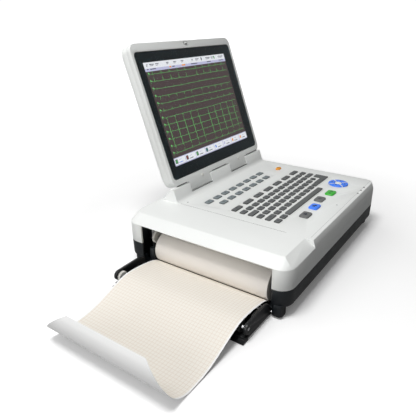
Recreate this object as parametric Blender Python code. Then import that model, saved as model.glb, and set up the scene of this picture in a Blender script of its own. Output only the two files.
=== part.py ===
"""Portable twelve-channel ECG machine with a flip-up screen and a side paper door.

Machine frame before the final shift: x = 0 is the paper side, y = 0 is the operator's side,
z = 0 is the table. All lengths are in metres.
"""
import math

import bmesh
import bpy
from mathutils import Matrix, Vector

MM = 0.001
GAP = 0.3 * MM  # running and resting clearance between neighbouring pieces

# Base housing
BODY_WIDTH = 395 * MM
BODY_DEPTH = 302 * MM
CORNER_RADIUS = 22 * MM
WALL = 2.5 * MM
PAD_HEIGHT = 3 * MM
PAD_RADIUS = 6.5 * MM
BOSS_BOTTOM = PAD_HEIGHT + GAP
SHELL_BOTTOM = 19 * MM
BOTTOM_CHAMFER = 2 * MM
SPLIT_HEIGHT = 46.4 * MM
WALL_TOP = 79 * MM
DECK_HEIGHT = 91 * MM
DECK_THICKNESS = 3 * MM
PAPER_SIDE_SLOPE = 19 * MM
EDGE_SLOPE = 4 * MM
FRONT_BAY_SLOPE = 17 * MM
BAY_COVER_END = 86 * MM

# Paper bay
BAY_FRONT = 26 * MM
BAY_TOP = 78.6 * MM
BAY_INNER_END = 66 * MM
BELLY_START = 11 * MM
BELLY_BOTTOM = 3.6 * MM
LINER_WALL = 1.8 * MM
LINER_TOP = 72 * MM

# Paper
PAPER_WIDTH = 210 * MM
PAPER_FRONT = 36.5 * MM
BAY_BACK = PAPER_FRONT + PAPER_WIDTH + 21.5 * MM
ROLL_RADIUS = 26 * MM
ROLL_X = 33 * MM
ROLL_HEIGHT = 33.8 * MM
CORE_RADIUS = 8 * MM
SPINDLE_RADIUS = 4 * MM
SHEET_THICKNESS = 0.5 * MM
CURL_RADIUS = 42 * MM
CURL_CENTRE = (-167 * MM, CURL_RADIUS + 1 * MM)
LEAD_LENGTH = 44 * MM  # stretch of sheet over which the leading corners are cut back
LEAD_FRONT = 30 * MM
LEAD_BACK = 50 * MM

# Paper door
DOOR_HINGE_X = 3.5 * MM
DOOR_HINGE_Z = 7 * MM
HINGE_PIN_RADIUS = 1.8 * MM
DOOR_LENGTH = 69.2 * MM
DOOR_SKIN = 2.8 * MM
DOOR_ARM = 4.5 * MM
PLATEN_REACH = 62.2 * MM
PLATEN_RISE = 10.5 * MM
PLATEN_RADIUS = 8 * MM
PLATEN_SHAFT_RADIUS = 2.5 * MM
ARM_TIP_RADIUS = 8.2 * MM
DOOR_TRAVEL = 90.0  # degrees from lying open to closed

# Drive gears
GEAR_MODULE = 0.8 * MM
GEAR_WIDTH = 4 * MM
DRIVE_TEETH = 27
PINION_TEETH = 12
PLATEN_TEETH = 20
DRIVE_X = 26 * MM
DRIVE_Z = 52 * MM

# Lid and display
LID_X0 = 88.2 * MM
LID_X1 = 387.8 * MM
LID_HEIGHT = 251.7 * MM
LID_THICKNESS = 27 * MM
LID_TILT = 19.84  # degrees back from upright
LID_CORNER = 14 * MM
BEZEL_DEPTH = 9 * MM
LID_WALL = 2.4 * MM
HINGE_Y = 267.6 * MM
HINGE_Z = 104 * MM
LID_FACE = 4 * MM  # display face ahead of the hinge axis
LID_FOOT = 11.1 * MM  # lower edge of the lid above the hinge axis
BARREL_RADIUS = 10.6 * MM
FILLET_RADIUS = 9 * MM
HUMP_FACE = 5.2 * MM  # front of the hinge hump ahead of the hinge axis
HUMP_X0 = 83 * MM
SHAFT_RADIUS = 3 * MM
TAB_DROP = 16.7 * MM
TABS = ((129.5 * MM, 194.1 * MM), (262.4 * MM, 323.4 * MM))
WINDOW_X0 = 94 * MM
WINDOW_X1 = 381.3 * MM
WINDOW_LOW = 11.3 * MM
WINDOW_HIGH = 237.1 * MM
WINDOW_CORNER = 8 * MM
GLASS_THICKNESS = 1.8 * MM
PANEL_WIDTH = 258 * MM
PANEL_HEIGHT = 196 * MM
PANEL_THICKNESS = 7 * MM
PANEL_CENTRE_X = 233.5 * MM
PANEL_CENTRE_V = 126.4 * MM

# Keys
KEY_PITCH = 19.65 * MM
KEY_SIZE_X = 14.5 * MM
KEY_SIZE_Y = 9.5 * MM
KEY_RISE = 2.2 * MM
MAT_THICKNESS = 1.1 * MM
RECESS_DEPTH = 1.4 * MM
BUTTON_RISE = 2.4 * MM
BUTTON_DROP = 9 * MM
BUTTON_GAP = 0.45 * MM

WHITE = ((0.80, 0.81, 0.79), 0.42, 0.0)
DARK = ((0.035, 0.045, 0.055), 0.5, 0.0)
BLACK = ((0.02, 0.02, 0.022), 0.45, 0.0)
RUBBER = ((0.03, 0.03, 0.03), 0.85, 0.0)
STEEL = ((0.62, 0.62, 0.63), 0.3, 1.0)
ALUMINIUM = ((0.72, 0.73, 0.74), 0.38, 1.0)
PAPER = ((0.93, 0.90, 0.85), 0.8, 0.0)
GLASS = ((0.03, 0.04, 0.05), 0.08, 0.0)
GREY_KEY = ((0.18, 0.19, 0.19), 0.55, 0.0)
BLUE = ((0.07, 0.24, 0.95), 0.4, 0.0)
GREEN = ((0.06, 0.48, 0.04), 0.4, 0.0)
ORANGE = ((0.90, 0.36, 0.02), 0.4, 0.0)
NYLON = ((0.85, 0.85, 0.82), 0.5, 0.0)
BOARD = ((0.03, 0.20, 0.08), 0.5, 0.0)
PANEL = ((0.10, 0.08, 0.09), 0.3, 0.0)


# ---------------------------------------------------------------- helpers
def clear_scene():
    for item in list(bpy.data.objects):
        bpy.data.objects.remove(item, do_unlink=True)


def make_material(name, finish):
    colour, roughness, metallic = finish
    material = bpy.data.materials.new(name)
    material.use_nodes = True
    shader = material.node_tree.nodes["Principled BSDF"]
    shader.inputs["Base Color"].default_value = (*colour, 1.0)
    shader.inputs["Roughness"].default_value = roughness
    shader.inputs["Metallic"].default_value = metallic
    return material


def add_object(name, bm, parent, finish=None, origin=Vector((0, 0, 0))):
    """Turn bm, drawn in its parent's coordinates, into an object whose origin is at origin."""
    bmesh.ops.recalc_face_normals(bm, faces=bm.faces)
    bmesh.ops.translate(bm, verts=bm.verts, vec=-origin)
    mesh = bpy.data.meshes.new(name)
    bm.to_mesh(mesh)
    bm.free()
    item = bpy.data.objects.new(name, mesh)
    bpy.context.scene.collection.objects.link(item)
    item.parent = parent
    item.location = origin
    if finish is None:
        item.hide_render = True
        item.display_type = "WIRE"
    else:
        mesh.materials.append(make_material(name + "_finish", finish))
        mesh.shade_smooth()
        mesh.set_sharp_from_angle(angle=math.radians(35))
    return item


def add_empty(name, parent, location=(0, 0, 0)):
    empty = bpy.data.objects.new(name, None)
    bpy.context.scene.collection.objects.link(empty)
    empty.parent = parent
    empty.location = location
    return empty


def boolean(target, tool, operation):
    modifier = target.modifiers.new(operation.lower(), "BOOLEAN")
    modifier.operation = operation
    modifier.object = tool


def cut(target, *tools):
    for tool in tools:
        boolean(target, tool, "DIFFERENCE")


def fuse(target, *tools):
    for tool in tools:
        boolean(target, tool, "UNION")


def place(point, axis, along):
    """Lift a 2-D outline point into space. Outlines across Z are (x, y), Y (x, z), X (y, z)."""
    first, second = point
    if axis == "Z":
        return Vector((first, second, along))
    if axis == "Y":
        return Vector((first, along, second))
    return Vector((along, first, second))


def loft(rings):
    """A closed body through rings with equal point counts, capped at both ends."""
    bm = bmesh.new()
    loops = [[bm.verts.new(point) for point in ring] for ring in rings]
    count = len(loops[0])
    for low, high in zip(loops, loops[1:]):
        for i in range(count):
            j = (i + 1) % count
            bm.faces.new((low[i], low[j], high[j], high[i]))
    bm.faces.new(loops[0])
    bm.faces.new(loops[-1])
    return bm


def prism(outline, axis, low, high):
    return loft([[place(p, axis, level) for p in outline] for level in (low, high)])


def block(low, high):
    outline = [(low[0], low[1]), (high[0], low[1]), (high[0], high[1]), (low[0], high[1])]
    return prism(outline, "Z", low[2], high[2])


def arc(centre, radius, start, end, steps):
    """Points on an arc, angles in degrees, both ends included."""
    points = []
    for i in range(steps + 1):
        angle = math.radians(start + (end - start) * i / steps)
        points.append((centre[0] + radius * math.cos(angle),
                       centre[1] + radius * math.sin(angle)))
    return points


def circle(centre, radius, steps, phase=0.0):
    return arc(centre, radius, phase, phase + 360.0, steps)[:-1]


def rounded_rect(x0, x1, y0, y1, radius, steps=4):
    corners = (((x1 - radius, y1 - radius), 0), ((x0 + radius, y1 - radius), 90),
               ((x0 + radius, y0 + radius), 180), ((x1 - radius, y0 + radius), 270))
    outline = []
    for centre, start in corners:
        outline += arc(centre, radius, start, start + 90, steps)
    return outline


def rod(axis, centre, radius, low, high, steps=16):
    return prism(circle(centre, radius, steps, 180.0 / steps), axis, low, high)


def tube(axis, centre, outer, inner, low, high, steps=24):
    """A sleeve: outer and inner walls joined by flat rings."""
    bm = bmesh.new()
    loops = []
    for radius, level in ((outer, low), (outer, high), (inner, high), (inner, low)):
        ring = circle(centre, radius, steps, 180.0 / steps)
        loops.append([bm.verts.new(place(p, axis, level)) for p in ring])
    for a, b in zip(loops, loops[1:] + loops[:1]):
        for i in range(steps):
            j = (i + 1) % steps
            bm.faces.new((a[i], a[j], b[j], b[i]))
    return bm


def gear_outline(centre, teeth, phase):
    """Spur gear outline with straight-flanked teeth, addendum one module, ample backlash."""
    pitch = GEAR_MODULE * teeth / 2
    step = 360.0 / teeth
    outline = []
    for i in range(teeth):
        middle = phase + i * step
        for radius, offset in ((pitch - 1.25 * GEAR_MODULE, -0.34), (pitch, -0.21),
                               (pitch + 0.9 * GEAR_MODULE, -0.09), (pitch + 0.9 * GEAR_MODULE, 0.09),
                               (pitch, 0.21), (pitch - 1.25 * GEAR_MODULE, 0.34)):
            angle = math.radians(middle + offset * step)
            outline.append((centre[0] + radius * math.cos(angle),
                            centre[1] + radius * math.sin(angle)))
    return outline


def bored_prism(outline, hole, axis, low, high, parent, name, finish, origin=Vector((0, 0, 0))):
    """A prism with one round hole given as (centre, radius)."""
    body = add_object(name, prism(outline, axis, low, high), parent, finish, origin)
    reach = abs(high - low)
    tool = rod(axis, hole[0], hole[1], low - reach, high + reach)
    cut(body, add_object("cutter_" + name, tool, parent))
    return body


# ---------------------------------------------------------------- base housing
def body_outline(inset=0.0):
    radius = CORNER_RADIUS - inset
    return rounded_rect(inset, BODY_WIDTH - inset, inset, BODY_DEPTH - inset, radius, 6)


def top_rings(inset):
    """Upper housing rings; inset is zero for the outside and the wall for the hollow."""
    lower = body_outline(inset)
    x0 = PAPER_SIDE_SLOPE + inset * 0.4
    slope = EDGE_SLOPE + inset * 0.9
    ridge = rounded_rect(x0, BODY_WIDTH - slope, slope, BODY_DEPTH - slope,
                         CORNER_RADIUS - slope, 6)
    return lower, ridge


def hump_outline(shrink):
    """Cross-section of the hinge hump in (y, z): fillet, flat front, barrel, then a slope to the rear."""
    radius = BARREL_RADIUS - shrink
    tilt = math.radians(LID_TILT)
    ahead = HUMP_FACE + FILLET_RADIUS
    along = (DECK_HEIGHT + FILLET_RADIUS - HINGE_Z - ahead * math.sin(tilt)) / math.cos(tilt)
    centre = (HINGE_Y - ahead * math.cos(tilt) + along * math.sin(tilt), DECK_HEIGHT + FILLET_RADIUS)
    outline = arc(centre, FILLET_RADIUS + shrink, 276, 360 - LID_TILT, 5)
    crest = 180 - LID_TILT - math.degrees(math.acos((HUMP_FACE - shrink) / radius))
    outline += arc((HINGE_Y, HINGE_Z), radius, crest, 40, 5)
    bottom = DECK_HEIGHT - DECK_THICKNESS / 2 - 2 * shrink
    rear = HINGE_Y + BARREL_RADIUS + 12 * MM - shrink
    outline += [(rear, DECK_HEIGHT - shrink), (rear, bottom), (outline[0][0], bottom)]
    return outline


def tab_gap_outline():
    """What the lid's tabs and lower edge sweep through, in (y, z)."""
    room = 0.8 * MM
    reach = math.hypot(LID_FOOT, LID_FACE) + room
    heel = math.hypot(LID_FOOT - TAB_DROP, LID_FACE) + room
    # With the lid shut its face lies level, LID_FACE below the axis
    low_far = 180 + math.degrees(math.asin((LID_FACE + room) / reach))
    low_near = 180 + math.degrees(math.asin((LID_FACE + room) / heel))
    rear = HINGE_Y + 24 * MM
    outline = arc((HINGE_Y, HINGE_Z), reach, 100, low_far, 8)
    outline += arc((HINGE_Y, HINGE_Z), heel, low_near, 270, 5)
    outline += [(rear, HINGE_Z - heel), (rear, HINGE_Z + 30 * MM), (HINGE_Y, HINGE_Z + 30 * MM)]
    return outline


def shoulder_outline(below):
    """What is taken off the front of the paper-bay cover, in (y, z), lowered by below."""
    return [(-2 * MM, WALL_TOP - below), (0.0, WALL_TOP - below),
            (FRONT_BAY_SLOPE, DECK_HEIGHT - below), (FRONT_BAY_SLOPE, DECK_HEIGHT + 6 * MM),
            (-2 * MM, DECK_HEIGHT + 6 * MM)]


def hump_segments():
    """The hump's hollow lengths, between and outside the lid's two tabs."""
    edges = [HUMP_X0, TABS[0][0], TABS[0][1], TABS[1][0], TABS[1][1], LID_X1]
    return [(edges[i] + WALL, edges[i + 1] - WALL) for i in (0, 2, 4)]


def key_layout():
    """Every moulded key of the letter mat as (centre x, centre y, width, depth)."""
    keys = []
    for i in range(7):
        keys.append((121.4 * MM + i * 37 * MM, 158.3 * MM, 25 * MM, 9.5 * MM))
    for i in range(13):
        keys.append((114.9 * MM + i * KEY_PITCH, 141 * MM, KEY_SIZE_X, KEY_SIZE_Y))
    for i in range(10):
        keys.append((144.6 * MM + i * KEY_PITCH, 125.2 * MM, KEY_SIZE_X, KEY_SIZE_Y))
    keys.append((119.8 * MM, 125.2 * MM, 24 * MM, KEY_SIZE_Y))
    keys.append((346.3 * MM, 125.2 * MM, 24 * MM, KEY_SIZE_Y))
    for i in range(12):
        keys.append((115.6 * MM + i * KEY_PITCH, 109.3 * MM, KEY_SIZE_X, KEY_SIZE_Y))
    for i in range(9):
        keys.append((145.0 * MM + i * KEY_PITCH, 93.3 * MM, KEY_SIZE_X, KEY_SIZE_Y))
    keys.append((120.6 * MM, 93.3 * MM, 25 * MM, KEY_SIZE_Y))
    for i in range(2):
        keys.append((115.6 * MM + i * KEY_PITCH, 77 * MM, KEY_SIZE_X, KEY_SIZE_Y))
    return keys


def function_layout():
    keys = [(119.5 * MM + i * 25.7 * MM, 215.2 * MM, 17 * MM, 10 * MM) for i in range(8)]
    keys += [(132.6 * MM + i * 25.7 * MM, 193.2 * MM, 17 * MM, 10 * MM) for i in range(7)]
    return keys


LETTER_MAT = (104 * MM, 362 * MM, 68.5 * MM, 167 * MM)
FUNCTION_MAT = (107.5 * MM, 312 * MM, 185.5 * MM, 223 * MM)
MAT_STEP = (296 * MM, 84 * MM)

ENTER_KEY = [(311, 88.3), (358, 88.3), (358, 114), (344.5, 114), (344.5, 98.6), (311, 98.6)]
ENTER_STEM = (345 * MM, 92 * MM)
SPACE_KEY = (147 * MM, 289 * MM, 71.8 * MM, 81.6 * MM)
SPACE_STEM = (218 * MM, 76.7 * MM)


def mat_outline(name, inset):
    """Outline of a key mat; the letter mat's near right corner is stepped round the arrows."""
    if name == "function_keypad":
        x0, x1, y0, y1 = FUNCTION_MAT
        return rounded_rect(x0 + inset, x1 - inset, y0 + inset, y1 - inset, 3 * MM - inset, 2)
    x0, x1, y0, y1 = LETTER_MAT
    step_x, step_y = MAT_STEP
    return [(x0 + inset, y0 + inset), (step_x - inset, y0 + inset), (step_x - inset, step_y + inset),
            (x1 - inset, step_y + inset), (x1 - inset, y1 - inset), (x0 + inset, y1 - inset)]


SQUARE_BUTTONS = {
    "print_button": ((160.5, 49.6), GREY_KEY),
    "copy_button": ((200.6, 50.8), BLUE),
    "review_button": ((237.0, 56.4), GREY_KEY),
    "start_button": ((276.6, 51.4), GREEN),
}
BUTTON_WIDTH = 23 * MM
BUTTON_DEPTH = 16 * MM
PAD_CENTRE = (333 * MM, 57.5 * MM)
PAD_OUTER = 18.8 * MM
PAD_INNER = 7.4 * MM
PAD_SPLIT = 1.3 * MM
POWER_CENTRE = (351.6 * MM, 198.1 * MM)
POWER_HALF = (8.5 * MM, 5 * MM)
LED_POINTS = ((341.6, 9.6), (323.2, 9.6), (304.8, 9.6))


def upper_housing(root):
    lower, ridge = top_rings(0.0)
    rings = [[Vector((*p, SPLIT_HEIGHT + GAP / 2)) for p in lower],
             [Vector((*p, WALL_TOP)) for p in lower],
             [Vector((*p, DECK_HEIGHT)) for p in ridge]]
    body = add_object("upper_housing", loft(rings), root, WHITE)
    hump = prism(hump_outline(0.0), "X", HUMP_X0, LID_X1)
    fuse(body, add_object("form_hump", hump, root))

    inner, inner_ridge = top_rings(WALL)
    rings = [[Vector((*p, SPLIT_HEIGHT - WALL)) for p in inner],
             [Vector((*p, WALL_TOP - WALL * 0.6)) for p in inner],
             [Vector((*p, DECK_HEIGHT - DECK_THICKNESS)) for p in inner_ridge]]
    hollow = add_object("cutter_upper_hollow", loft(rings), root)
    guard = prism(shoulder_outline(WALL), "X", -5 * MM, BAY_COVER_END + WALL)
    boolean(hollow, add_object("guard_shoulder", guard, root), "DIFFERENCE")
    cut(body, hollow)
    for i, (low, high) in enumerate(hump_segments()):
        hollow = prism(hump_outline(WALL), "X", low, high)
        cut(body, add_object("cutter_hump_%d" % i, hollow, root))

    # The two gaps in the hump where the lid's tabs swing
    for i, (low, high) in enumerate(TABS):
        tool = prism(tab_gap_outline(), "X", low - 0.6 * MM, high + 0.6 * MM)
        cut(body, add_object("cutter_tab_gap_%d" % i, tool, root))
        bore = rod("X", (HINGE_Y, HINGE_Z), SHAFT_RADIUS + GAP, low - 8 * MM, high + 8 * MM)
        cut(body, add_object("cutter_hinge_bore_%d" % i, bore, root))

    # Paper bay: open side, sloping shoulder ahead of it
    opening = block((-5 * MM, BAY_FRONT, SPLIT_HEIGHT - 8 * MM), (8 * MM, BAY_BACK, BAY_TOP))
    cut(body, add_object("cutter_bay_upper", opening, root))
    tool = prism(shoulder_outline(0.0), "X", -5 * MM, BAY_COVER_END)
    cut(body, add_object("cutter_bay_shoulder", tool, root))

    # Keyboard recesses, stems, buttons and lights
    low = DECK_HEIGHT - RECESS_DEPTH
    for name in ("letter_keypad", "function_keypad"):
        tool = prism(mat_outline(name, 0.0), "Z", low, DECK_HEIGHT + 5 * MM)
        cut(body, add_object("cutter_recess_" + name, tool, root))
    through = (DECK_HEIGHT - 12 * MM, DECK_HEIGHT + 5 * MM)
    for name, (x, y) in (("enter", ENTER_STEM), ("space", SPACE_STEM)):
        tool = rod("Z", (x, y), 2.5 * MM + BUTTON_GAP, *through, 12)
        cut(body, add_object("cutter_stem_" + name, tool, root))
    for name, (centre, _) in SQUARE_BUTTONS.items():
        outline = button_outline(centre, BUTTON_GAP)
        tool = prism(outline, "Z", *through)
        cut(body, add_object("cutter_" + name, tool, root))
    tool = prism(circle(PAD_CENTRE, PAD_OUTER + BUTTON_GAP, 28), "Z", *through)
    cut(body, add_object("cutter_arrow_pad", tool, root))
    tool = prism(power_outline(BUTTON_GAP), "Z", *through)
    cut(body, add_object("cutter_power", tool, root))
    for i, (x, y) in enumerate(LED_POINTS):
        tool = rod("Z", (x * MM, y * MM), 1.6 * MM + GAP, *through, 10)
        cut(body, add_object("cutter_light_%d" % i, tool, root))
    tool = block((BODY_WIDTH - 8 * MM, 96 * MM, 52 * MM), (BODY_WIDTH + 5 * MM, 142 * MM, 68 * MM))
    cut(body, add_object("cutter_patient_port", tool, root))
    return body


def lower_housing(root):
    floor = SHELL_BOTTOM
    rings = [[Vector((*p, floor)) for p in body_outline(BOTTOM_CHAMFER)],
             [Vector((*p, floor + 1.6 * BOTTOM_CHAMFER)) for p in body_outline(0.6 * MM)],
             [Vector((*p, SPLIT_HEIGHT - GAP / 2)) for p in body_outline()]]
    body = add_object("lower_housing", loft(rings), root, DARK)
    belly = block((BELLY_START, BAY_FRONT - 6 * MM, BELLY_BOTTOM),
                  (BAY_INNER_END + 3 * MM, BAY_BACK + 14 * MM, floor + 2 * MM))
    fuse(body, add_object("form_belly", belly, root))
    for i, (x0, y0, x1, y1) in enumerate(boss_boxes()):
        outline = rounded_rect(x0, x1, y0, y1, 5 * MM, 3)
        boss = prism(outline, "Z", BOSS_BOTTOM, floor + 3 * MM)
        fuse(body, add_object("form_boss_%d" % i, boss, root))

    rings = [[Vector((*p, floor + WALL)) for p in body_outline(BOTTOM_CHAMFER + WALL)],
             [Vector((*p, floor + 1.6 * BOTTOM_CHAMFER)) for p in body_outline(0.6 * MM + WALL)],
             [Vector((*p, SPLIT_HEIGHT + 5 * MM)) for p in body_outline(WALL)]]
    cut(body, add_object("cutter_lower_hollow", loft(rings), root))
    pit = block((BELLY_START - 30 * MM, BAY_FRONT - 4 * MM, BELLY_BOTTOM + 2 * MM),
                (BAY_INNER_END + 1 * MM, BAY_BACK + 12 * MM, floor + 10 * MM))
    keep = block((-5 * MM, BAY_FRONT, -1 * MM), (BELLY_START + 1 * MM, BAY_BACK, BAY_TOP))
    pit_tool = add_object("cutter_belly_pit", pit, root)
    guard = block((-40 * MM, BAY_FRONT - 8 * MM, -2 * MM), (BELLY_START, BAY_FRONT, 60 * MM))
    boolean(pit_tool, add_object("guard_front_boss", guard, root), "DIFFERENCE")
    guard = block((-40 * MM, BAY_BACK, -2 * MM), (BELLY_START, BAY_BACK + 20 * MM, 60 * MM))
    boolean(pit_tool, add_object("guard_back_boss", guard, root), "DIFFERENCE")
    cut(body, pit_tool, add_object("cutter_bay_lower", keep, root))
    pin = rod("Y", (DOOR_HINGE_X, DOOR_HINGE_Z), HINGE_PIN_RADIUS + GAP, BAY_FRONT - 9 * MM,
              BAY_BACK + 9 * MM, 12)
    cut(body, add_object("cutter_hinge_pin", pin, root))
    inlet = block((300 * MM, BODY_DEPTH - 12 * MM, 24 * MM),
                  (328 * MM, BODY_DEPTH + 5 * MM, 44.5 * MM))
    cut(body, add_object("cutter_mains_inlet", inlet, root))
    ports = block((BODY_WIDTH - 12 * MM, 170 * MM, 27 * MM), (BODY_WIDTH + 5 * MM, 186 * MM, 41 * MM))
    cut(body, add_object("cutter_lan_port", ports, root))
    ports = block((BODY_WIDTH - 12 * MM, 200 * MM, 27 * MM), (BODY_WIDTH + 5 * MM, 215 * MM, 43 * MM))
    cut(body, add_object("cutter_usb_port", ports, root))
    stud = rod("Y", (345 * MM, 33 * MM), 3 * MM + GAP, BODY_DEPTH - 12 * MM, BODY_DEPTH + 5 * MM)
    cut(body, add_object("cutter_earth_stud", stud, root))
    return body


def boss_boxes():
    """Corner bosses that carry the feet and, on the paper side, the door's hinge pin."""
    left = (0.4 * MM, 19 * MM)
    right = (BODY_WIDTH - 27 * MM, BODY_WIDTH - 9 * MM)
    front = (9 * MM, BAY_FRONT)
    back = (BAY_BACK, BAY_BACK + 19 * MM)
    return [(x[0], y[0], x[1], y[1]) for x in (left, right) for y in (front, back)]


def foot_pads(root):
    names = ("foot_pad_front_left", "foot_pad_back_left", "foot_pad_front_right",
             "foot_pad_back_right")
    for name, (x0, y0, x1, y1) in zip(names, boss_boxes()):
        centre = ((x0 + x1) / 2, (y0 + y1) / 2)
        rings = []
        for radius, level in ((PAD_RADIUS - 0.8 * MM, 0.0), (PAD_RADIUS, 0.8 * MM),
                              (PAD_RADIUS, PAD_HEIGHT)):
            rings.append([Vector((*p, level)) for p in circle(centre, radius, 20)])
        add_object(name, loft(rings), root, RUBBER)


# ---------------------------------------------------------------- paper bay and roll
def bay_liner(root):
    low = BELLY_BOTTOM + 2 * MM + GAP
    x0, x1 = BELLY_START + GAP, BAY_INNER_END
    y0, y1 = BAY_FRONT - 4 * MM + GAP, BAY_BACK + 12 * MM - GAP
    body = add_object("paper_bay_liner", block((x0, y0, low), (x1, y1, LINER_TOP)), root, DARK)
    hollow = block((x0 - 5 * MM, y0 + LINER_WALL, low + 1.4 * MM),
                   (x1 - LINER_WALL, y1 - LINER_WALL, LINER_TOP + 5 * MM))
    cut(body, add_object("cutter_liner", hollow, root))
    column_y = PAPER_FRONT + PAPER_WIDTH + 3 * MM
    column = rounded_rect(6 * MM, 21 * MM, column_y, BAY_BACK - 8.4 * MM, 4 * MM, 4)
    fuse(body, add_object("form_column", prism(column, "Z", low + 0.5 * MM, SPLIT_HEIGHT - 9 * MM),
                          root))
    slot = SPINDLE_RADIUS + GAP
    for i, y in enumerate(fin_places()):
        fin = block((ROLL_X - 11 * MM, y, low + 0.5 * MM), (ROLL_X + 11 * MM, y + 2.2 * MM, ROLL_HEIGHT))
        fuse(body, add_object("form_fin_%d" % i, fin, root))
        mouth = [(ROLL_X - slot, ROLL_HEIGHT + 5 * MM)] + arc((ROLL_X, ROLL_HEIGHT), slot, 180, 360, 8)
        mouth += [(ROLL_X + slot, ROLL_HEIGHT + 5 * MM)]
        tool = prism(mouth, "Y", y - 1 * MM, y + 3.2 * MM)
        cut(body, add_object("cutter_fin_%d" % i, tool, root))


def fin_places():
    return (PAPER_FRONT - 3.4 * MM, PAPER_FRONT + PAPER_WIDTH + 1.2 * MM)


def paper_roll(root):
    axis = Vector((ROLL_X, PAPER_FRONT + PAPER_WIDTH / 2, ROLL_HEIGHT))
    centre = (ROLL_X, ROLL_HEIGHT)
    low, high = PAPER_FRONT, PAPER_FRONT + PAPER_WIDTH
    roll = tube("Y", centre, ROLL_RADIUS, CORE_RADIUS, low, high, 48)
    add_object("paper_roll", roll, root, PAPER, axis)
    fins = fin_places()
    profile = ((SPINDLE_RADIUS, fins[0] - 0.6 * MM), (SPINDLE_RADIUS, low - 1.0 * MM),
               (CORE_RADIUS - GAP, low - 0.4 * MM), (CORE_RADIUS - GAP, high + 0.4 * MM),
               (SPINDLE_RADIUS, high + 1.0 * MM), (SPINDLE_RADIUS, fins[1] + 2.8 * MM))
    rings = [[place(p, "Y", y) for p in circle(centre, r, 20)] for r, y in profile]
    add_object("roll_spindle", loft(rings), root, BLACK, axis)


def sheet_profile():
    """Side view of the sheet, (x, z): off the roll, over the platen, down to the table, curl."""
    points = [(14.5, 14.2), (5, 19.4), (-8, 22.9), (-25, 25.4), (-42, 26.8), (-56, 27.0),
              (-68, 25.4), (-85, 20.4), (-105, 13.0), (-124, 6.6), (-142, 2.6), (-155, 1.3)]
    points = [Vector((x * MM, z * MM)) for x, z in points]
    for x, z in arc(CURL_CENTRE, CURL_RADIUS, 268, 155, 9):
        points.append(Vector((x, z)))
    return points


def paper_sheet(root):
    """A strip of paper, one body: its leading corners are cut back to a taper."""
    line = sheet_profile()
    lengths = [0.0]
    for a, b in zip(line, line[1:]):
        lengths.append(lengths[-1] + (b - a).length)
    taper_start = lengths[-1] - LEAD_LENGTH
    rings = []
    for i, point in enumerate(line):
        ahead = line[min(i + 1, len(line) - 1)]
        behind = line[max(i - 1, 0)]
        tangent = (ahead - behind).normalized()
        normal = Vector((tangent.y, -tangent.x)) * SHEET_THICKNESS / 2
        share = max(0.0, (lengths[i] - taper_start) / LEAD_LENGTH) ** 1.4
        front = PAPER_FRONT + LEAD_FRONT * share
        back = PAPER_FRONT + PAPER_WIDTH - LEAD_BACK * share
        top, under = point + normal, point - normal
        rings.append([place(top, "Y", front), place(top, "Y", back),
                      place(under, "Y", back), place(under, "Y", front)])
    add_object("paper_sheet", loft(rings), root, PAPER)


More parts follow.
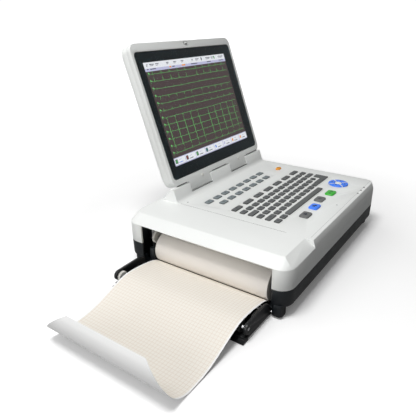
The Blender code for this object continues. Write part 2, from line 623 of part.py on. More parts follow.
# ---------------------------------------------------------------- paper door
def paper_door(root):
    axis = Vector((DOOR_HINGE_X, (BAY_FRONT + BAY_BACK) / 2, DOOR_HINGE_Z))
    hinge = add_empty("paper_door_axis", root, axis)
    hinge_point = (0.0, 0.0)
    platen = (-PLATEN_REACH, PLATEN_RISE)
    half = (BAY_BACK - BAY_FRONT) / 2 - 0.5 * MM
    skin_low = -DOOR_HINGE_X + 0.2 * MM

    # Coordinates from here on are relative to the hinge axis, door lying open
    skin = block((-DOOR_LENGTH, -half, skin_low), (-5 * MM, half, skin_low + DOOR_SKIN))
    door = add_object("paper_door", skin, hinge, BLACK)
    under = 0.5 * MM - DOOR_HINGE_Z
    root_x, tip_x = -DOOR_LENGTH + 6 * MM, -DOOR_LENGTH - 6.8 * MM
    lip = [(tip_x, under), (root_x, under), (root_x, skin_low + 0.5 * MM),
           (-DOOR_LENGTH, skin_low + 0.5 * MM), (-DOOR_LENGTH, -DOOR_HINGE_X - GAP), (tip_x, -DOOR_HINGE_X - GAP)]
    fuse(door, add_object("form_door_lip", prism(lip, "Y", -half, half), hinge))
    arm = arc(hinge_point, 4.8 * MM, 330, 270, 4)
    bottom = skin_low + 0.4 * MM
    arm = [(4.2 * MM, 2 * MM)] + arm + [(-8 * MM, bottom), (platen[0] + 3 * MM, bottom)]
    arm += arc(platen, ARM_TIP_RADIUS, 262, 90, 12)
    arm += [(-15 * MM, 19.5 * MM), (-7 * MM, 16 * MM), (-1.5 * MM, 6 * MM)]
    for name, side in (("front", -1), ("back", 1)):
        low, high = sorted((side * half, side * (half - DOOR_ARM)))
        fuse(door, add_object("form_door_arm_" + name, prism(arm, "Y", low, high), hinge))
    for i, y in enumerate((-0.33, 0.0, 0.33)):
        rib = block((-DOOR_LENGTH + 3 * MM, y * half - 1 * MM, skin_low + 0.5 * MM),
                    (-12 * MM, y * half + 1 * MM, skin_low + DOOR_SKIN + 3 * MM))
        fuse(door, add_object("form_door_rib_%d" % i, rib, hinge))
    pin_hole = rod("Y", hinge_point, HINGE_PIN_RADIUS + GAP, -half - 5 * MM, half + 5 * MM, 12)
    shaft_hole = rod("Y", platen, PLATEN_SHAFT_RADIUS + GAP, -half - 5 * MM, half + 5 * MM, 16)
    cut(door, add_object("cutter_door_pin", pin_hole, hinge),
        add_object("cutter_door_shaft", shaft_hole, hinge))
    pin = rod("Y", hinge_point, HINGE_PIN_RADIUS, -half - 8 * MM, half + 8 * MM, 12)
    add_object("door_hinge_pin", pin, hinge, STEEL)

    # Platen: rubber sleeve on a steel shaft with its gear, carried by the two arms
    spin = add_empty("platen_axis", hinge, (platen[0], 0, platen[1]))
    middle = (BAY_FRONT + BAY_BACK) / 2
    rubber_low, rubber_high = PAPER_FRONT - middle, PAPER_FRONT + PAPER_WIDTH - middle
    sleeve = tube("Y", (0, 0), PLATEN_RADIUS, PLATEN_SHAFT_RADIUS + GAP, rubber_low, rubber_high, 28)
    add_object("platen_roller", sleeve, spin, RUBBER)
    shaft = rod("Y", (0, 0), PLATEN_SHAFT_RADIUS, -half - 0.2 * MM, half + 0.2 * MM, 16)
    add_object("platen_shaft", shaft, spin, STEEL)
    gear_low = gear_plane() - middle
    bored_prism(gear_outline((0, 0), PLATEN_TEETH, 0), ((0, 0), PLATEN_SHAFT_RADIUS + GAP), "Y",
                gear_low, gear_low + GEAR_WIDTH, spin, "platen_gear", NYLON)

    # Latch lever inside the front arm, on a pin that stands out of the arm
    latch_axis = Vector((-38 * MM, -half + DOOR_ARM + 2.2 * MM, 13.5 * MM))
    latch = add_empty("door_latch_axis", hinge, latch_axis)
    lever = [(-6, -2), (-4.5, -3.4), (3, -3.4), (12, -2.6), (24, -4.2), (26.5, -2.2), (25, 0.2),
             (12, 3.0), (3, 4.0), (-4, 3.4), (-6, 1.6)]
    lever = [(x * MM, z * MM) for x, z in lever]
    bored_prism(lever, ((0, 0), 1.5 * MM + GAP), "Y", -1.2 * MM, 1.2 * MM, latch,
                "door_latch_lever", BLACK)
    pin = rod("Y", (latch_axis.x, latch_axis.z), 1.5 * MM, latch_axis.y - 3.6 * MM,
              latch_axis.y + 2.2 * MM, 12)
    hole = rod("Y", (latch_axis.x, latch_axis.z), 1.5 * MM + GAP, latch_axis.y - 4.4 * MM,
               latch_axis.y, 12)
    add_object("door_latch_pin", pin, hinge, STEEL)
    cut(door, add_object("cutter_latch_pin", hole, hinge))


def gear_plane():
    """Lower y of the gear train, just behind the roll."""
    return PAPER_FRONT + PAPER_WIDTH + 8.5 * MM


def drive_train(root):
    """Motor, pinion and drive gear at the back end of the bay."""
    low = gear_plane()
    plate_low = low + GEAR_WIDTH + 1.2 * MM
    distance = GEAR_MODULE * (DRIVE_TEETH + PINION_TEETH) / 2 + 0.1 * MM
    motor_x = DRIVE_X + distance
    plate = rounded_rect(DRIVE_X - 8 * MM, motor_x + 18 * MM, DRIVE_Z - 19 * MM, DRIVE_Z + 17.5 * MM,
                         4 * MM, 2)
    carrier = bored_prism(plate, ((motor_x, DRIVE_Z), 6.5 * MM), "Y", plate_low,
                          plate_low + 1.2 * MM, root, "motor_plate", STEEL)
    stub = rod("Y", (DRIVE_X, DRIVE_Z), 2 * MM, low - 0.8 * MM, plate_low + 0.6 * MM, 12)
    fuse(carrier, add_object("form_drive_gear_stub", stub, root))
    drive_axis = Vector((DRIVE_X, low + GEAR_WIDTH / 2, DRIVE_Z))
    bored_prism(gear_outline((DRIVE_X, DRIVE_Z), DRIVE_TEETH, 0), ((DRIVE_X, DRIVE_Z), 2 * MM + GAP),
                "Y", low, low + GEAR_WIDTH, root, "drive_gear", NYLON, drive_axis)
    pinion_axis = Vector((motor_x, low + GEAR_WIDTH / 2, DRIVE_Z))
    phase = 180.0 + 180.0 / PINION_TEETH
    bored_prism(gear_outline((motor_x, DRIVE_Z), PINION_TEETH, phase), ((motor_x, DRIVE_Z), 1.2 * MM),
                "Y", low, low + GEAR_WIDTH, root, "motor_pinion", NYLON, pinion_axis)
    outline = circle((motor_x, DRIVE_Z), 16.5 * MM, 28)
    motor = add_object("drive_motor", prism(outline, "Y", plate_low + 1.5 * MM, BAY_BACK + 9.5 * MM),
                       root, BLACK)
    shaft = rod("Y", (motor_x, DRIVE_Z), 0.9 * MM, low + 0.4 * MM, plate_low + 3 * MM, 10)
    fuse(motor, add_object("form_motor_shaft", shaft, root))


def print_head(root):
    low, high = PAPER_FRONT - 1.5 * MM, PAPER_FRONT + PAPER_WIDTH + 1.5 * MM
    x0 = DOOR_HINGE_X + PLATEN_RISE + PLATEN_RADIUS + 0.6 * MM
    z = DOOR_HINGE_Z + PLATEN_REACH
    add_object("print_head_ceramic", block((x0, low, z - 7 * MM), (x0 + 1.4 * MM, high, z + 7 * MM)),
               root, ((0.85, 0.84, 0.8), 0.35, 0.0))
    sink = [(x0 + 1.7 * MM, z - 8.5 * MM), (x0 + 10 * MM, z - 8.5 * MM), (x0 + 10 * MM, z - 5 * MM),
            (x0 + 4.5 * MM, z - 5 * MM), (x0 + 4.5 * MM, z - 1.5 * MM), (x0 + 10 * MM, z - 1.5 * MM),
            (x0 + 10 * MM, z + 2 * MM), (x0 + 4.5 * MM, z + 2 * MM), (x0 + 4.5 * MM, z + 5.5 * MM),
            (x0 + 10 * MM, z + 5.5 * MM), (x0 + 10 * MM, z + 9 * MM), (x0 + 1.7 * MM, z + 9 * MM)]
    add_object("print_head_heat_sink", prism(sink, "Y", low, high), root, ALUMINIUM)
    x1 = x0 + 10.4 * MM
    top = DECK_HEIGHT - DECK_THICKNESS - GAP
    angle = [(x1, z - 8 * MM), (x1 + 1.5 * MM, z - 8 * MM), (x1 + 1.5 * MM, top - 1.5 * MM),
             (x1 + 14 * MM, top - 1.5 * MM), (x1 + 14 * MM, top), (x1, top)]
    add_object("print_head_bracket", prism(angle, "Y", low, high), root, STEEL)


# ---------------------------------------------------------------- keys and buttons
def button_outline(centre, grow=0.0):
    x, y = centre[0] * MM, centre[1] * MM
    half_x, half_y = BUTTON_WIDTH / 2 + grow, BUTTON_DEPTH / 2 + grow
    return rounded_rect(x - half_x, x + half_x, y - half_y, y + half_y, 4 * MM + grow, 4)


def power_outline(grow=0.0):
    half_x, half_y = POWER_HALF[0] + grow, POWER_HALF[1] + grow
    x, y = POWER_CENTRE
    return [(x + half_x * math.cos(math.radians(a)), y + half_y * math.sin(math.radians(a)))
            for a in range(0, 360, 15)]


def crowned_button(outline, origin, name, root, finish):
    """A cap with softened upper edge; its shank goes down through the deck."""
    centre = Vector((origin[0], origin[1]))
    rings = []
    levels = ((0.0, -BUTTON_DROP), (0.0, BUTTON_RISE - 0.7 * MM), (0.9 * MM, BUTTON_RISE))
    for inset, level in levels:
        ring = []
        for p in outline:
            away = Vector(p) - centre
            point = Vector(p) - away.normalized() * inset
            ring.append(Vector((point.x, point.y, DECK_HEIGHT + level)))
        rings.append(ring)
    add_object(name, loft(rings), root, finish, Vector((centre.x, centre.y, DECK_HEIGHT)))


def buttons(root):
    for name, (centre, finish) in SQUARE_BUTTONS.items():
        origin = (centre[0] * MM, centre[1] * MM)
        crowned_button(button_outline(centre), origin, name, root, finish)
    crowned_button(power_outline(), POWER_CENTRE, "power_button", root, ORANGE)
    for name, angle in (("arrow_right", 0), ("arrow_up", 90), ("arrow_left", 180),
                        ("arrow_down", 270)):
        slack = math.degrees(PAD_SPLIT / PAD_OUTER)
        slack_in = math.degrees(PAD_SPLIT / PAD_INNER)
        outline = arc(PAD_CENTRE, PAD_OUTER, angle - 45 + slack, angle + 45 - slack, 7)
        outline += arc(PAD_CENTRE, PAD_INNER, angle + 45 - slack_in, angle - 45 + slack_in, 3)
        middle = math.radians(angle)
        radius = (PAD_OUTER + PAD_INNER) / 2
        origin = (PAD_CENTRE[0] + radius * math.cos(middle), PAD_CENTRE[1] + radius * math.sin(middle))
        crowned_button(outline, origin, name, root, BLUE)
    crowned_button(circle(PAD_CENTRE, PAD_INNER - 0.9 * MM, 18), PAD_CENTRE, "confirm_button",
                   root, WHITE)
    for i, (x, y) in enumerate(LED_POINTS):
        name = ("mains_light", "battery_light", "charge_light")[i]
        light = rod("Z", (x * MM, y * MM), 1.6 * MM, DECK_HEIGHT - 6 * MM, DECK_HEIGHT + 0.4 * MM, 10)
        add_object(name, light, root, ((0.12, 0.13, 0.12), 0.2, 0.0))


def key_mats(root):
    """Silicone keypads lying in the deck's recesses, each one moulding with its keys."""
    low = DECK_HEIGHT - RECESS_DEPTH + GAP
    top = low + MAT_THICKNESS
    mats = (("letter_keypad", key_layout()), ("function_keypad", function_layout()))
    for name, keys in mats:
        mat = add_object(name, prism(mat_outline(name, GAP), "Z", low, top), root, GREY_KEY)
        caps = bmesh.new()
        for x, y, width, depth in keys:
            add_cap(caps, x, y, width, depth, top - 0.5 * MM, top + KEY_RISE)
        fuse(mat, add_object("form_" + name, caps, root))
        if name == "letter_keypad":
            hole = prism([(x * MM, y * MM) for x, y in grown_enter(0.5)], "Z", low - 2 * MM,
                         top + 5 * MM)
            space = rounded_rect(SPACE_KEY[0] - 0.5 * MM, SPACE_KEY[1] + 0.5 * MM,
                                 SPACE_KEY[2] - 0.5 * MM, SPACE_KEY[3] + 0.5 * MM, 1 * MM, 1)
            cut(mat, add_object("cutter_enter_hole", hole, root),
                add_object("cutter_space_hole", prism(space, "Z", low - 2 * MM, top + 5 * MM), root))
    lift = DECK_HEIGHT - RECESS_DEPTH + 1.2 * MM
    outline = [(x * MM, y * MM) for x, y in ENTER_KEY]
    stemmed_key("enter_key", outline, ENTER_STEM, lift, top + KEY_RISE, root)
    outline = rounded_rect(*SPACE_KEY, 1 * MM, 1)
    stemmed_key("space_key", outline, SPACE_STEM, lift, top + KEY_RISE, root)


def grown_enter(grow):
    xs, ys = [p[0] for p in ENTER_KEY], [p[1] for p in ENTER_KEY]
    signs = ((-1, -1), (1, -1), (1, 1), (-1, 1), (-1, 1), (-1, 1))
    return [(x + sx * grow, y + sy * grow) for x, y, (sx, sy) in zip(xs, ys, signs)]


def add_cap(bm, x, y, width, depth, low, high):
    """One key cap: straight skirt, then a slightly smaller top."""
    rings = []
    for inset, level in ((0.0, low), (0.0, high - 0.6 * MM), (0.8 * MM, high)):
        half_x, half_y = width / 2 - inset, depth / 2 - inset
        rings.append([bm.verts.new((x + sx * half_x, y + sy * half_y, level))
                      for sx, sy in ((-1, -1), (1, -1), (1, 1), (-1, 1))])
    for a, b in zip(rings, rings[1:]):
        for i in range(4):
            bm.faces.new((a[i], a[(i + 1) % 4], b[(i + 1) % 4], b[i]))
    bm.faces.new(rings[0])
    bm.faces.new(rings[-1])


def stemmed_key(name, outline, stem, low, high, root):
    origin = Vector((stem[0], stem[1], low))
    key = add_object(name, prism(outline, "Z", low, high), root, GREY_KEY, origin)
    shank = rod("Z", stem, 2.5 * MM, DECK_HEIGHT - 9 * MM, low + 1 * MM, 12)
    fuse(key, add_object("form_" + name, shank, root))


# ---------------------------------------------------------------- lid and display
def lid(root):
    """Drawn in the hinge's own frame: x along the hinge, y into the lid, z up the screen."""
    hinge = add_empty("lid_axis", root, (0, HINGE_Y, HINGE_Z))
    hinge.rotation_euler = (-math.radians(LID_TILT), 0, 0)
    face = -LID_FACE
    low, high = LID_FOOT, LID_FOOT + LID_HEIGHT
    outline = rounded_rect(LID_X0, LID_X1, low, high, LID_CORNER, 5)
    small = rounded_rect(LID_X0 + 0.8 * MM, LID_X1 - 0.8 * MM, low + 0.8 * MM, high - 0.8 * MM,
                         LID_CORNER - 0.8 * MM, 5)
    depth = face + BEZEL_DEPTH
    rings = [[place(p, "Y", face) for p in small], [place(p, "Y", face + 0.8 * MM) for p in outline],
             [place(p, "Y", depth) for p in outline]]
    bezel = add_object("lid_bezel", loft(rings), hinge, WHITE)
    inner = rounded_rect(LID_X0 + LID_WALL, LID_X1 - LID_WALL, low + LID_WALL, high - LID_WALL,
                         LID_CORNER - LID_WALL, 4)
    for i, (x0, x1) in enumerate(TABS):
        fuse(bezel, add_object("form_tab_%d" % i, tab_shape(x0 + GAP, x1 - GAP), hinge))
    hollow = prism(inner, "Y", face + 3.2 * MM, depth + 5 * MM)
    window = window_outline(low, 0.0)
    bore = rod("X", (0, 0), SHAFT_RADIUS + GAP, TABS[0][0] - 5 * MM, TABS[1][1] + 5 * MM)
    cut(bezel, add_object("cutter_bezel_hollow", hollow, hinge),
        add_object("cutter_window", prism(window, "Y", face - 5 * MM, depth + 5 * MM), hinge),
        add_object("cutter_tab_bore", bore, hinge))
    notch = block((232 * MM, face - 2 * MM, high - 7.5 * MM), (246 * MM, face + 5 * MM, high - 2.8 * MM))
    cut(bezel, add_object("cutter_latch_slot", notch, hinge))

    # Back cover: a shallow tray behind the bezel
    back = face + LID_THICKNESS
    top_inset = 5 * MM
    outer_back = rounded_rect(LID_X0 + top_inset, LID_X1 - top_inset, low + 2 * MM, high - top_inset,
                              LID_CORNER, 5)
    rings = [[place(p, "Y", depth + GAP) for p in outline],
             [place(p, "Y", back - 6 * MM) for p in outline],
             [place(p, "Y", back) for p in outer_back]]
    cover = add_object("lid_back_cover", loft(rings), hinge, WHITE)
    tray_back = rounded_rect(LID_X0 + top_inset + LID_WALL, LID_X1 - top_inset - LID_WALL,
                             low + 2 * MM + LID_WALL, high - top_inset - LID_WALL,
                             LID_CORNER - LID_WALL, 4)
    rings = [[place(p, "Y", depth - 2 * MM) for p in inner],
             [place(p, "Y", back - 6 * MM) for p in inner],
             [place(p, "Y", back - LID_WALL) for p in tray_back]]
    cut(cover, add_object("cutter_back_cover", loft(rings), hinge))

    glass = prism(window_outline(low, 0.3 * MM), "Y", face + 0.3 * MM, face + 0.3 * MM + GLASS_THICKNESS)
    add_object("display_glass", glass, hinge, GLASS)
    panel_low = low + PANEL_CENTRE_V - PANEL_HEIGHT / 2
    panel_face = face + 0.3 * MM + GLASS_THICKNESS + GAP
    panel = block((PANEL_CENTRE_X - PANEL_WIDTH / 2, panel_face, panel_low),
                  (PANEL_CENTRE_X + PANEL_WIDTH / 2, panel_face + PANEL_THICKNESS,
                   panel_low + PANEL_HEIGHT))
    add_object("display_panel", panel, hinge, PANEL)

    hook = [(face - 2.6 * MM, high - 6.2 * MM), (face - 1.2 * MM, high - 6.6 * MM),
            (face + 3.0 * MM, high - 6.6 * MM), (face + 3.0 * MM, high - 3.8 * MM),
            (face - 0.6 * MM, high - 3.8 * MM), (face - 2.6 * MM, high - 5.0 * MM)]
    latch = prism(hook, "X", 235 * MM, 241 * MM)
    add_object("lid_latch_hook", latch, hinge, WHITE, Vector((238 * MM, face, high - 5 * MM)))
    for i, (x0, x1) in enumerate(TABS):
        name = ("lid_bumper_left", "lid_bumper_right")[i]
        x = (172.1 * MM, 300 * MM)[i]
        rings = []
        for radius, level in ((2.9 * MM, face - GAP), (2.9 * MM, face - 0.9 * MM),
                              (2.0 * MM, face - 1.5 * MM)):
            rings.append([place(p, "Y", level) for p in circle((x, low + 1.5 * MM), radius, 16)])
        add_object(name, loft(rings), hinge, NYLON)
        name = ("hinge_shaft_left", "hinge_shaft_right")[i]
        shaft = rod("X", (0, 0), SHAFT_RADIUS, x0 - 7 * MM, x1 + 7 * MM)
        add_object(name, shaft, hinge, STEEL)


def window_outline(low, inset):
    return rounded_rect(WINDOW_X0 + inset, WINDOW_X1 - inset, low + WINDOW_LOW + inset,
                        low + WINDOW_HIGH - inset, WINDOW_CORNER - inset, 5)


def tab_shape(x0, x1):
    """A hinge tab: flat in front with the bezel, rounded below and behind the shaft."""
    heel = SHAFT_RADIUS + 3.4 * MM
    outline = [(-LID_FACE, LID_FOOT + 4 * MM), (-LID_FACE, LID_FOOT - TAB_DROP)]
    outline += arc((0, 0), heel, 262, 360, 7)
    waist = BEZEL_DEPTH - LID_FACE - 0.5 * MM
    outline += [(heel, 4 * MM), (waist, LID_FOOT - 2 * MM), (waist, LID_FOOT + 4 * MM)]
    return prism(outline, "X", x0, x1)


# ---------------------------------------------------------------- inside and ports
def electronics(root):
    floor = SHELL_BOTTOM + WALL + 0.5 * MM
    left = BAY_INNER_END + 12 * MM
    add_object("main_board", block((left, 70 * MM, 66 * MM), (360 * MM, 250 * MM, 67.6 * MM)), root,
               BOARD)
    add_object("power_supply", block((270 * MM, 180 * MM, floor), (372 * MM, 274 * MM, floor + 34 * MM)),
               root, ALUMINIUM)
    add_object("battery_pack", block((left + 8 * MM, 30 * MM, floor), (left + 108 * MM, 118 * MM,
                                                                   floor + 24 * MM)),
               root, BLACK)
    cone = [(12 * MM, floor), (12 * MM, floor + 6 * MM), (20 * MM, floor + 14 * MM),
            (20 * MM, floor + 16 * MM)]
    rings = [[Vector((*p, z)) for p in circle((240 * MM, 60 * MM), r, 20)] for r, z in cone]
    add_object("loudspeaker", loft(rings), root, BLACK)


def ports(root):
    side = BODY_WIDTH
    body = add_object("patient_port", block((side - 9 * MM, 96 * MM + GAP, 52 * MM + GAP),
                                            (side + 1.5 * MM, 142 * MM - GAP, 68 * MM - GAP)),
                      root, DARK)
    socket = [(102 * MM, 64 * MM), (104 * MM, 56 * MM), (134 * MM, 56 * MM), (136 * MM, 64 * MM)]
    cut(body, add_object("cutter_patient_socket", prism(socket, "X", side - 6 * MM, side + 5 * MM),
                         root))
    inlet = block((300 * MM + GAP, BODY_DEPTH - 9 * MM, 24 * MM + GAP),
                  (328 * MM - GAP, BODY_DEPTH + 1 * MM, 44.5 * MM - GAP))
    body = add_object("mains_inlet", inlet, root, BLACK)
    mouth = rounded_rect(303 * MM, 325 * MM, 27 * MM, 41.5 * MM, 2 * MM, 2)
    cut(body, add_object("cutter_inlet_mouth", prism(mouth, "Y", BODY_DEPTH - 7 * MM,
                                                     BODY_DEPTH + 5 * MM), root))
    frame = block((side - 10 * MM, 170 * MM + GAP, 27 * MM + GAP),
                  (side + 0.4 * MM, 186 * MM - GAP, 41 * MM - GAP))
    body = add_object("network_port", frame, root, STEEL)
    cut(body, add_object("cutter_network_mouth", block((side - 8 * MM, 172 * MM, 29 * MM),
                                                       (side + 5 * MM, 184 * MM, 39 * MM)), root))
    frame = block((side - 10 * MM, 200 * MM + GAP, 27 * MM + GAP),
                  (side + 0.4 * MM, 215 * MM - GAP, 43 * MM - GAP))
    body = add_object("usb_port", frame, root, STEEL)
    for i in range(2):
        z = (28.8 + 7.4 * i) * MM
        mouth = block((side - 8 * MM, 201.4 * MM, z), (side + 5 * MM, 213.6 * MM, z + 5 * MM))
        cut(body, add_object("cutter_usb_mouth_%d" % i, mouth, root))
    stud = rod("Y", (345 * MM, 33 * MM), 3 * MM, BODY_DEPTH - 9 * MM, BODY_DEPTH + 8 * MM)
    add_object("earth_stud", stud, root, STEEL)


def stand_on_origin(root):
    """Shift the machine so that the middle of its footprint is at x = y = 0."""
    bpy.context.view_layer.update()
    graph = bpy.context.evaluated_depsgraph_get()
    corners = []
    for item in bpy.context.scene.objects:
        if item.type == "MESH" and not item.hide_render:
            solid = item.evaluated_get(graph)
            mesh = solid.to_mesh()
            corners += [solid.matrix_world @ vertex.co for vertex in mesh.vertices]
            solid.to_mesh_clear()
    for axis in (0, 1):
        values = [c[axis] for c in corners]
        root.location[axis] = -(min(values) + max(values)) / 2
    bpy.context.view_layer.update()


def main():
    clear_scene()
    root = add_empty("ecg_machine", None)
    upper_housing(root)
    lower_housing(root)
    foot_pads(root)
    bay_liner(root)
    paper_roll(root)
    paper_sheet(root)
    paper_door(root)
    drive_train(root)
    print_head(root)
    buttons(root)
    key_mats(root)
    lid(root)
    electronics(root)
    ports(root)
    stand_on_origin(root)


main()
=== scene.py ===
"""Finishes, keys, lit display and chart paper of the ECG machine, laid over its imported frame."""
import math

import bmesh
import bpy
from mathutils import Matrix, Vector


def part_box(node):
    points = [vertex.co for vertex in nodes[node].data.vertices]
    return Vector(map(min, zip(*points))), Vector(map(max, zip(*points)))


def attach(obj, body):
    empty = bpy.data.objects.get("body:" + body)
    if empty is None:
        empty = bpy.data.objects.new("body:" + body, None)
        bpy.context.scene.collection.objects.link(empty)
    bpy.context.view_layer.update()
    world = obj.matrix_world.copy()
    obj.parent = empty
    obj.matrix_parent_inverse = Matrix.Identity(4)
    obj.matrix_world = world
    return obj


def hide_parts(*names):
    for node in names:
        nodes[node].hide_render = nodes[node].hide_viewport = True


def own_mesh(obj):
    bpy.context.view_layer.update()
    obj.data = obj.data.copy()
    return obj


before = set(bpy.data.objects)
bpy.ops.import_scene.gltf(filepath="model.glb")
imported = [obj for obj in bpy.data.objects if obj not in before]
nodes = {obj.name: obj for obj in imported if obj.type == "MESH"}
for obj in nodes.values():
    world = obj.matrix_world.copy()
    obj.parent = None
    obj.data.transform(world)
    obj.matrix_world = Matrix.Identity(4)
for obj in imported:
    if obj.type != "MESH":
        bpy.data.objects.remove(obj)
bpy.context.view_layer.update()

# Sizes are in millimetres and degrees
MM = 0.001
CASE_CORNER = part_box("lower_housing")[0]  # front left corner of the case
CASE_WIDTH, CASE_DEPTH = 395, 302
UNDERSIDE = 19
DECK = 91.0
LID_TILT = 19.84
HINGE = (267.6, 104.0)  # hinge axis behind the case's front and above the table
LID_FOOT = 11.1  # lower edge of the lid above the hinge axis
LID_FACE = -4.0  # display side of the lid, from the hinge axis into the lid
LID_BACK = 23
HUMP_FACE = 5.2  # front of the hinge humps ahead of the hinge axis
ARROW_CENTRE = (333, 57.5)
ARROW_WEB = (8.0, 18.6)  # inner and outer end of the webs between the arrow keys


# ---------------------------------------------------------------- places
def case_point(x, y, z):
    """Millimetres from the case's front left corner and the table, to the row frame."""
    return Vector((CASE_CORNER[0] + x * MM, CASE_CORNER[1] + y * MM, z * MM))


LID_FRAME = (Matrix.Translation(case_point(0, HINGE[0], HINGE[1]))
             @ Matrix.Rotation(-math.radians(LID_TILT), 4, "X"))


def lid_point(x, depth, up):
    """Millimetres along the hinge, into the lid and up the screen, to the row frame."""
    return LID_FRAME @ Vector((x * MM, depth * MM, up * MM))


# ---------------------------------------------------------------- shader groups
def add_socket(group, name, direction, kind, value=None):
    socket = group.interface.new_socket(name=name, in_out=direction, socket_type=kind)
    if value is not None:
        socket.default_value = value


def link(tree, a, b):
    tree.links.new(a, b)


def math_node(tree, operation, a, b=None):
    node = tree.nodes.new("ShaderNodeMath")
    node.operation = operation
    for i, value in enumerate((a, b)):
        if value is None:
            continue
        if isinstance(value, (int, float)):
            node.inputs[i].default_value = value
        else:
            link(tree, value, node.inputs[i])
    return node.outputs[0]


def noise_node(tree, vector, scale, detail):
    node = tree.nodes.new("ShaderNodeTexNoise")
    node.inputs["Detail"].default_value = detail
    if isinstance(scale, (int, float)):
        node.inputs["Scale"].default_value = scale
    else:
        link(tree, scale, node.inputs["Scale"])
    link(tree, vector, node.inputs["Vector"])
    return node.outputs["Fac"]


def remap(tree, value, low, high):
    node = tree.nodes.new("ShaderNodeMapRange")
    node.inputs["From Min"].default_value = 0.3
    node.inputs["From Max"].default_value = 0.7
    for name, limit in (("To Min", low), ("To Max", high)):
        if isinstance(limit, (int, float)):
            node.inputs[name].default_value = limit
        else:
            link(tree, limit, node.inputs[name])
    link(tree, value, node.inputs["Value"])
    return node.outputs["Result"]


def moulded_skin_group():
    """Spark-eroded mould texture with slow drift in tone and gloss."""
    group = bpy.data.node_groups.new("moulded_skin", "ShaderNodeTree")
    add_socket(group, "Colour", "INPUT", "NodeSocketColor", (0.8, 0.8, 0.8, 1))
    add_socket(group, "Drift", "INPUT", "NodeSocketFloat", 0.03)
    add_socket(group, "Gloss loss", "INPUT", "NodeSocketFloat", 0.4)
    add_socket(group, "Grain per metre", "INPUT", "NodeSocketFloat", 1500.0)
    add_socket(group, "Colour", "OUTPUT", "NodeSocketColor")
    add_socket(group, "Roughness", "OUTPUT", "NodeSocketFloat")
    add_socket(group, "Height", "OUTPUT", "NodeSocketFloat")
    given = group.nodes.new("NodeGroupInput")
    out = group.nodes.new("NodeGroupOutput")
    place = group.nodes.new("ShaderNodeTexCoord").outputs["Object"]
    slow = noise_node(group, place, 11.0, 3.0)
    grain = noise_node(group, place, given.outputs["Grain per metre"], 2.0)
    handled = noise_node(group, place, 47.0, 4.0)

    low = math_node(group, "SUBTRACT", 1.0, given.outputs["Drift"])
    tone = remap(group, slow, low, 1.0)
    speck = remap(group, grain, 0.985, 1.0)
    tone = math_node(group, "MULTIPLY", tone, speck)
    scale = group.nodes.new("ShaderNodeVectorMath")
    scale.operation = "SCALE"
    link(group, given.outputs["Colour"], scale.inputs[0])
    link(group, tone, scale.inputs["Scale"])
    link(group, scale.outputs[0], out.inputs["Colour"])

    rougher = math_node(group, "ADD", given.outputs["Gloss loss"], 0.09)
    link(group, remap(group, handled, given.outputs["Gloss loss"], rougher), out.inputs["Roughness"])
    link(group, grain, out.inputs["Height"])
    return group


def ruled_lines_group():
    """Mask of lines ruled both ways on a flat coordinate, one at full strength each pitch."""
    group = bpy.data.node_groups.new("ruled_lines", "ShaderNodeTree")
    add_socket(group, "Place", "INPUT", "NodeSocketVector")
    add_socket(group, "Pitch", "INPUT", "NodeSocketFloat", 0.005)
    add_socket(group, "Line share", "INPUT", "NodeSocketFloat", 0.1)
    add_socket(group, "Mask", "OUTPUT", "NodeSocketFloat")
    given = group.nodes.new("NodeGroupInput")
    out = group.nodes.new("NodeGroupOutput")
    split = group.nodes.new("ShaderNodeSeparateXYZ")
    link(group, given.outputs["Place"], split.inputs[0])
    masks = []
    for name in ("X", "Y"):
        turns = math_node(group, "DIVIDE", split.outputs[name], given.outputs["Pitch"])
        part = math_node(group, "FRACT", turns)
        masks.append(math_node(group, "LESS_THAN", part, given.outputs["Line share"]))
    link(group, math_node(group, "MAXIMUM", masks[0], masks[1]), out.inputs["Mask"])
    return group


def brushed_group():
    """Fine straight scratches along the case's length, for turned and rolled metal."""
    group = bpy.data.node_groups.new("brushed_metal", "ShaderNodeTree")
    add_socket(group, "Gloss loss", "INPUT", "NodeSocketFloat", 0.3)
    add_socket(group, "Roughness", "OUTPUT", "NodeSocketFloat")
    add_socket(group, "Height", "OUTPUT", "NodeSocketFloat")
    given = group.nodes.new("NodeGroupInput")
    out = group.nodes.new("NodeGroupOutput")
    stretch = group.nodes.new("ShaderNodeMapping")
    stretch.inputs["Scale"].default_value = (1.0, 0.05, 1.0)
    link(group, group.nodes.new("ShaderNodeTexCoord").outputs["Object"], stretch.inputs["Vector"])
    scratch = noise_node(group, stretch.outputs[0], 2600.0, 3.0)
    rougher = math_node(group, "ADD", given.outputs["Gloss loss"], 0.16)
    link(group, remap(group, scratch, given.outputs["Gloss loss"], rougher), out.inputs["Roughness"])
    link(group, scratch, out.inputs["Height"])
    return group


MOULDED_SKIN = moulded_skin_group()
RULED_LINES = ruled_lines_group()
BRUSHED_METAL = brushed_group()


def blank_material(name):
    material = bpy.data.materials.new(name)
    material.use_nodes = True
    return material, material.node_tree, material.node_tree.nodes["Principled BSDF"]


def use_group(tree, group, **values):
    node = tree.nodes.new("ShaderNodeGroup")
    node.node_tree = group
    for name, value in values.items():
        node.inputs[name.replace("_", " ")].default_value = value
    return node


def raise_surface(tree, shader, height, depth, strength=0.5):
    bump = tree.nodes.new("ShaderNodeBump")
    bump.inputs["Distance"].default_value = depth
    bump.inputs["Strength"].default_value = strength
    link(tree, height, bump.inputs["Height"])
    link(tree, bump.outputs["Normal"], shader.inputs["Normal"])


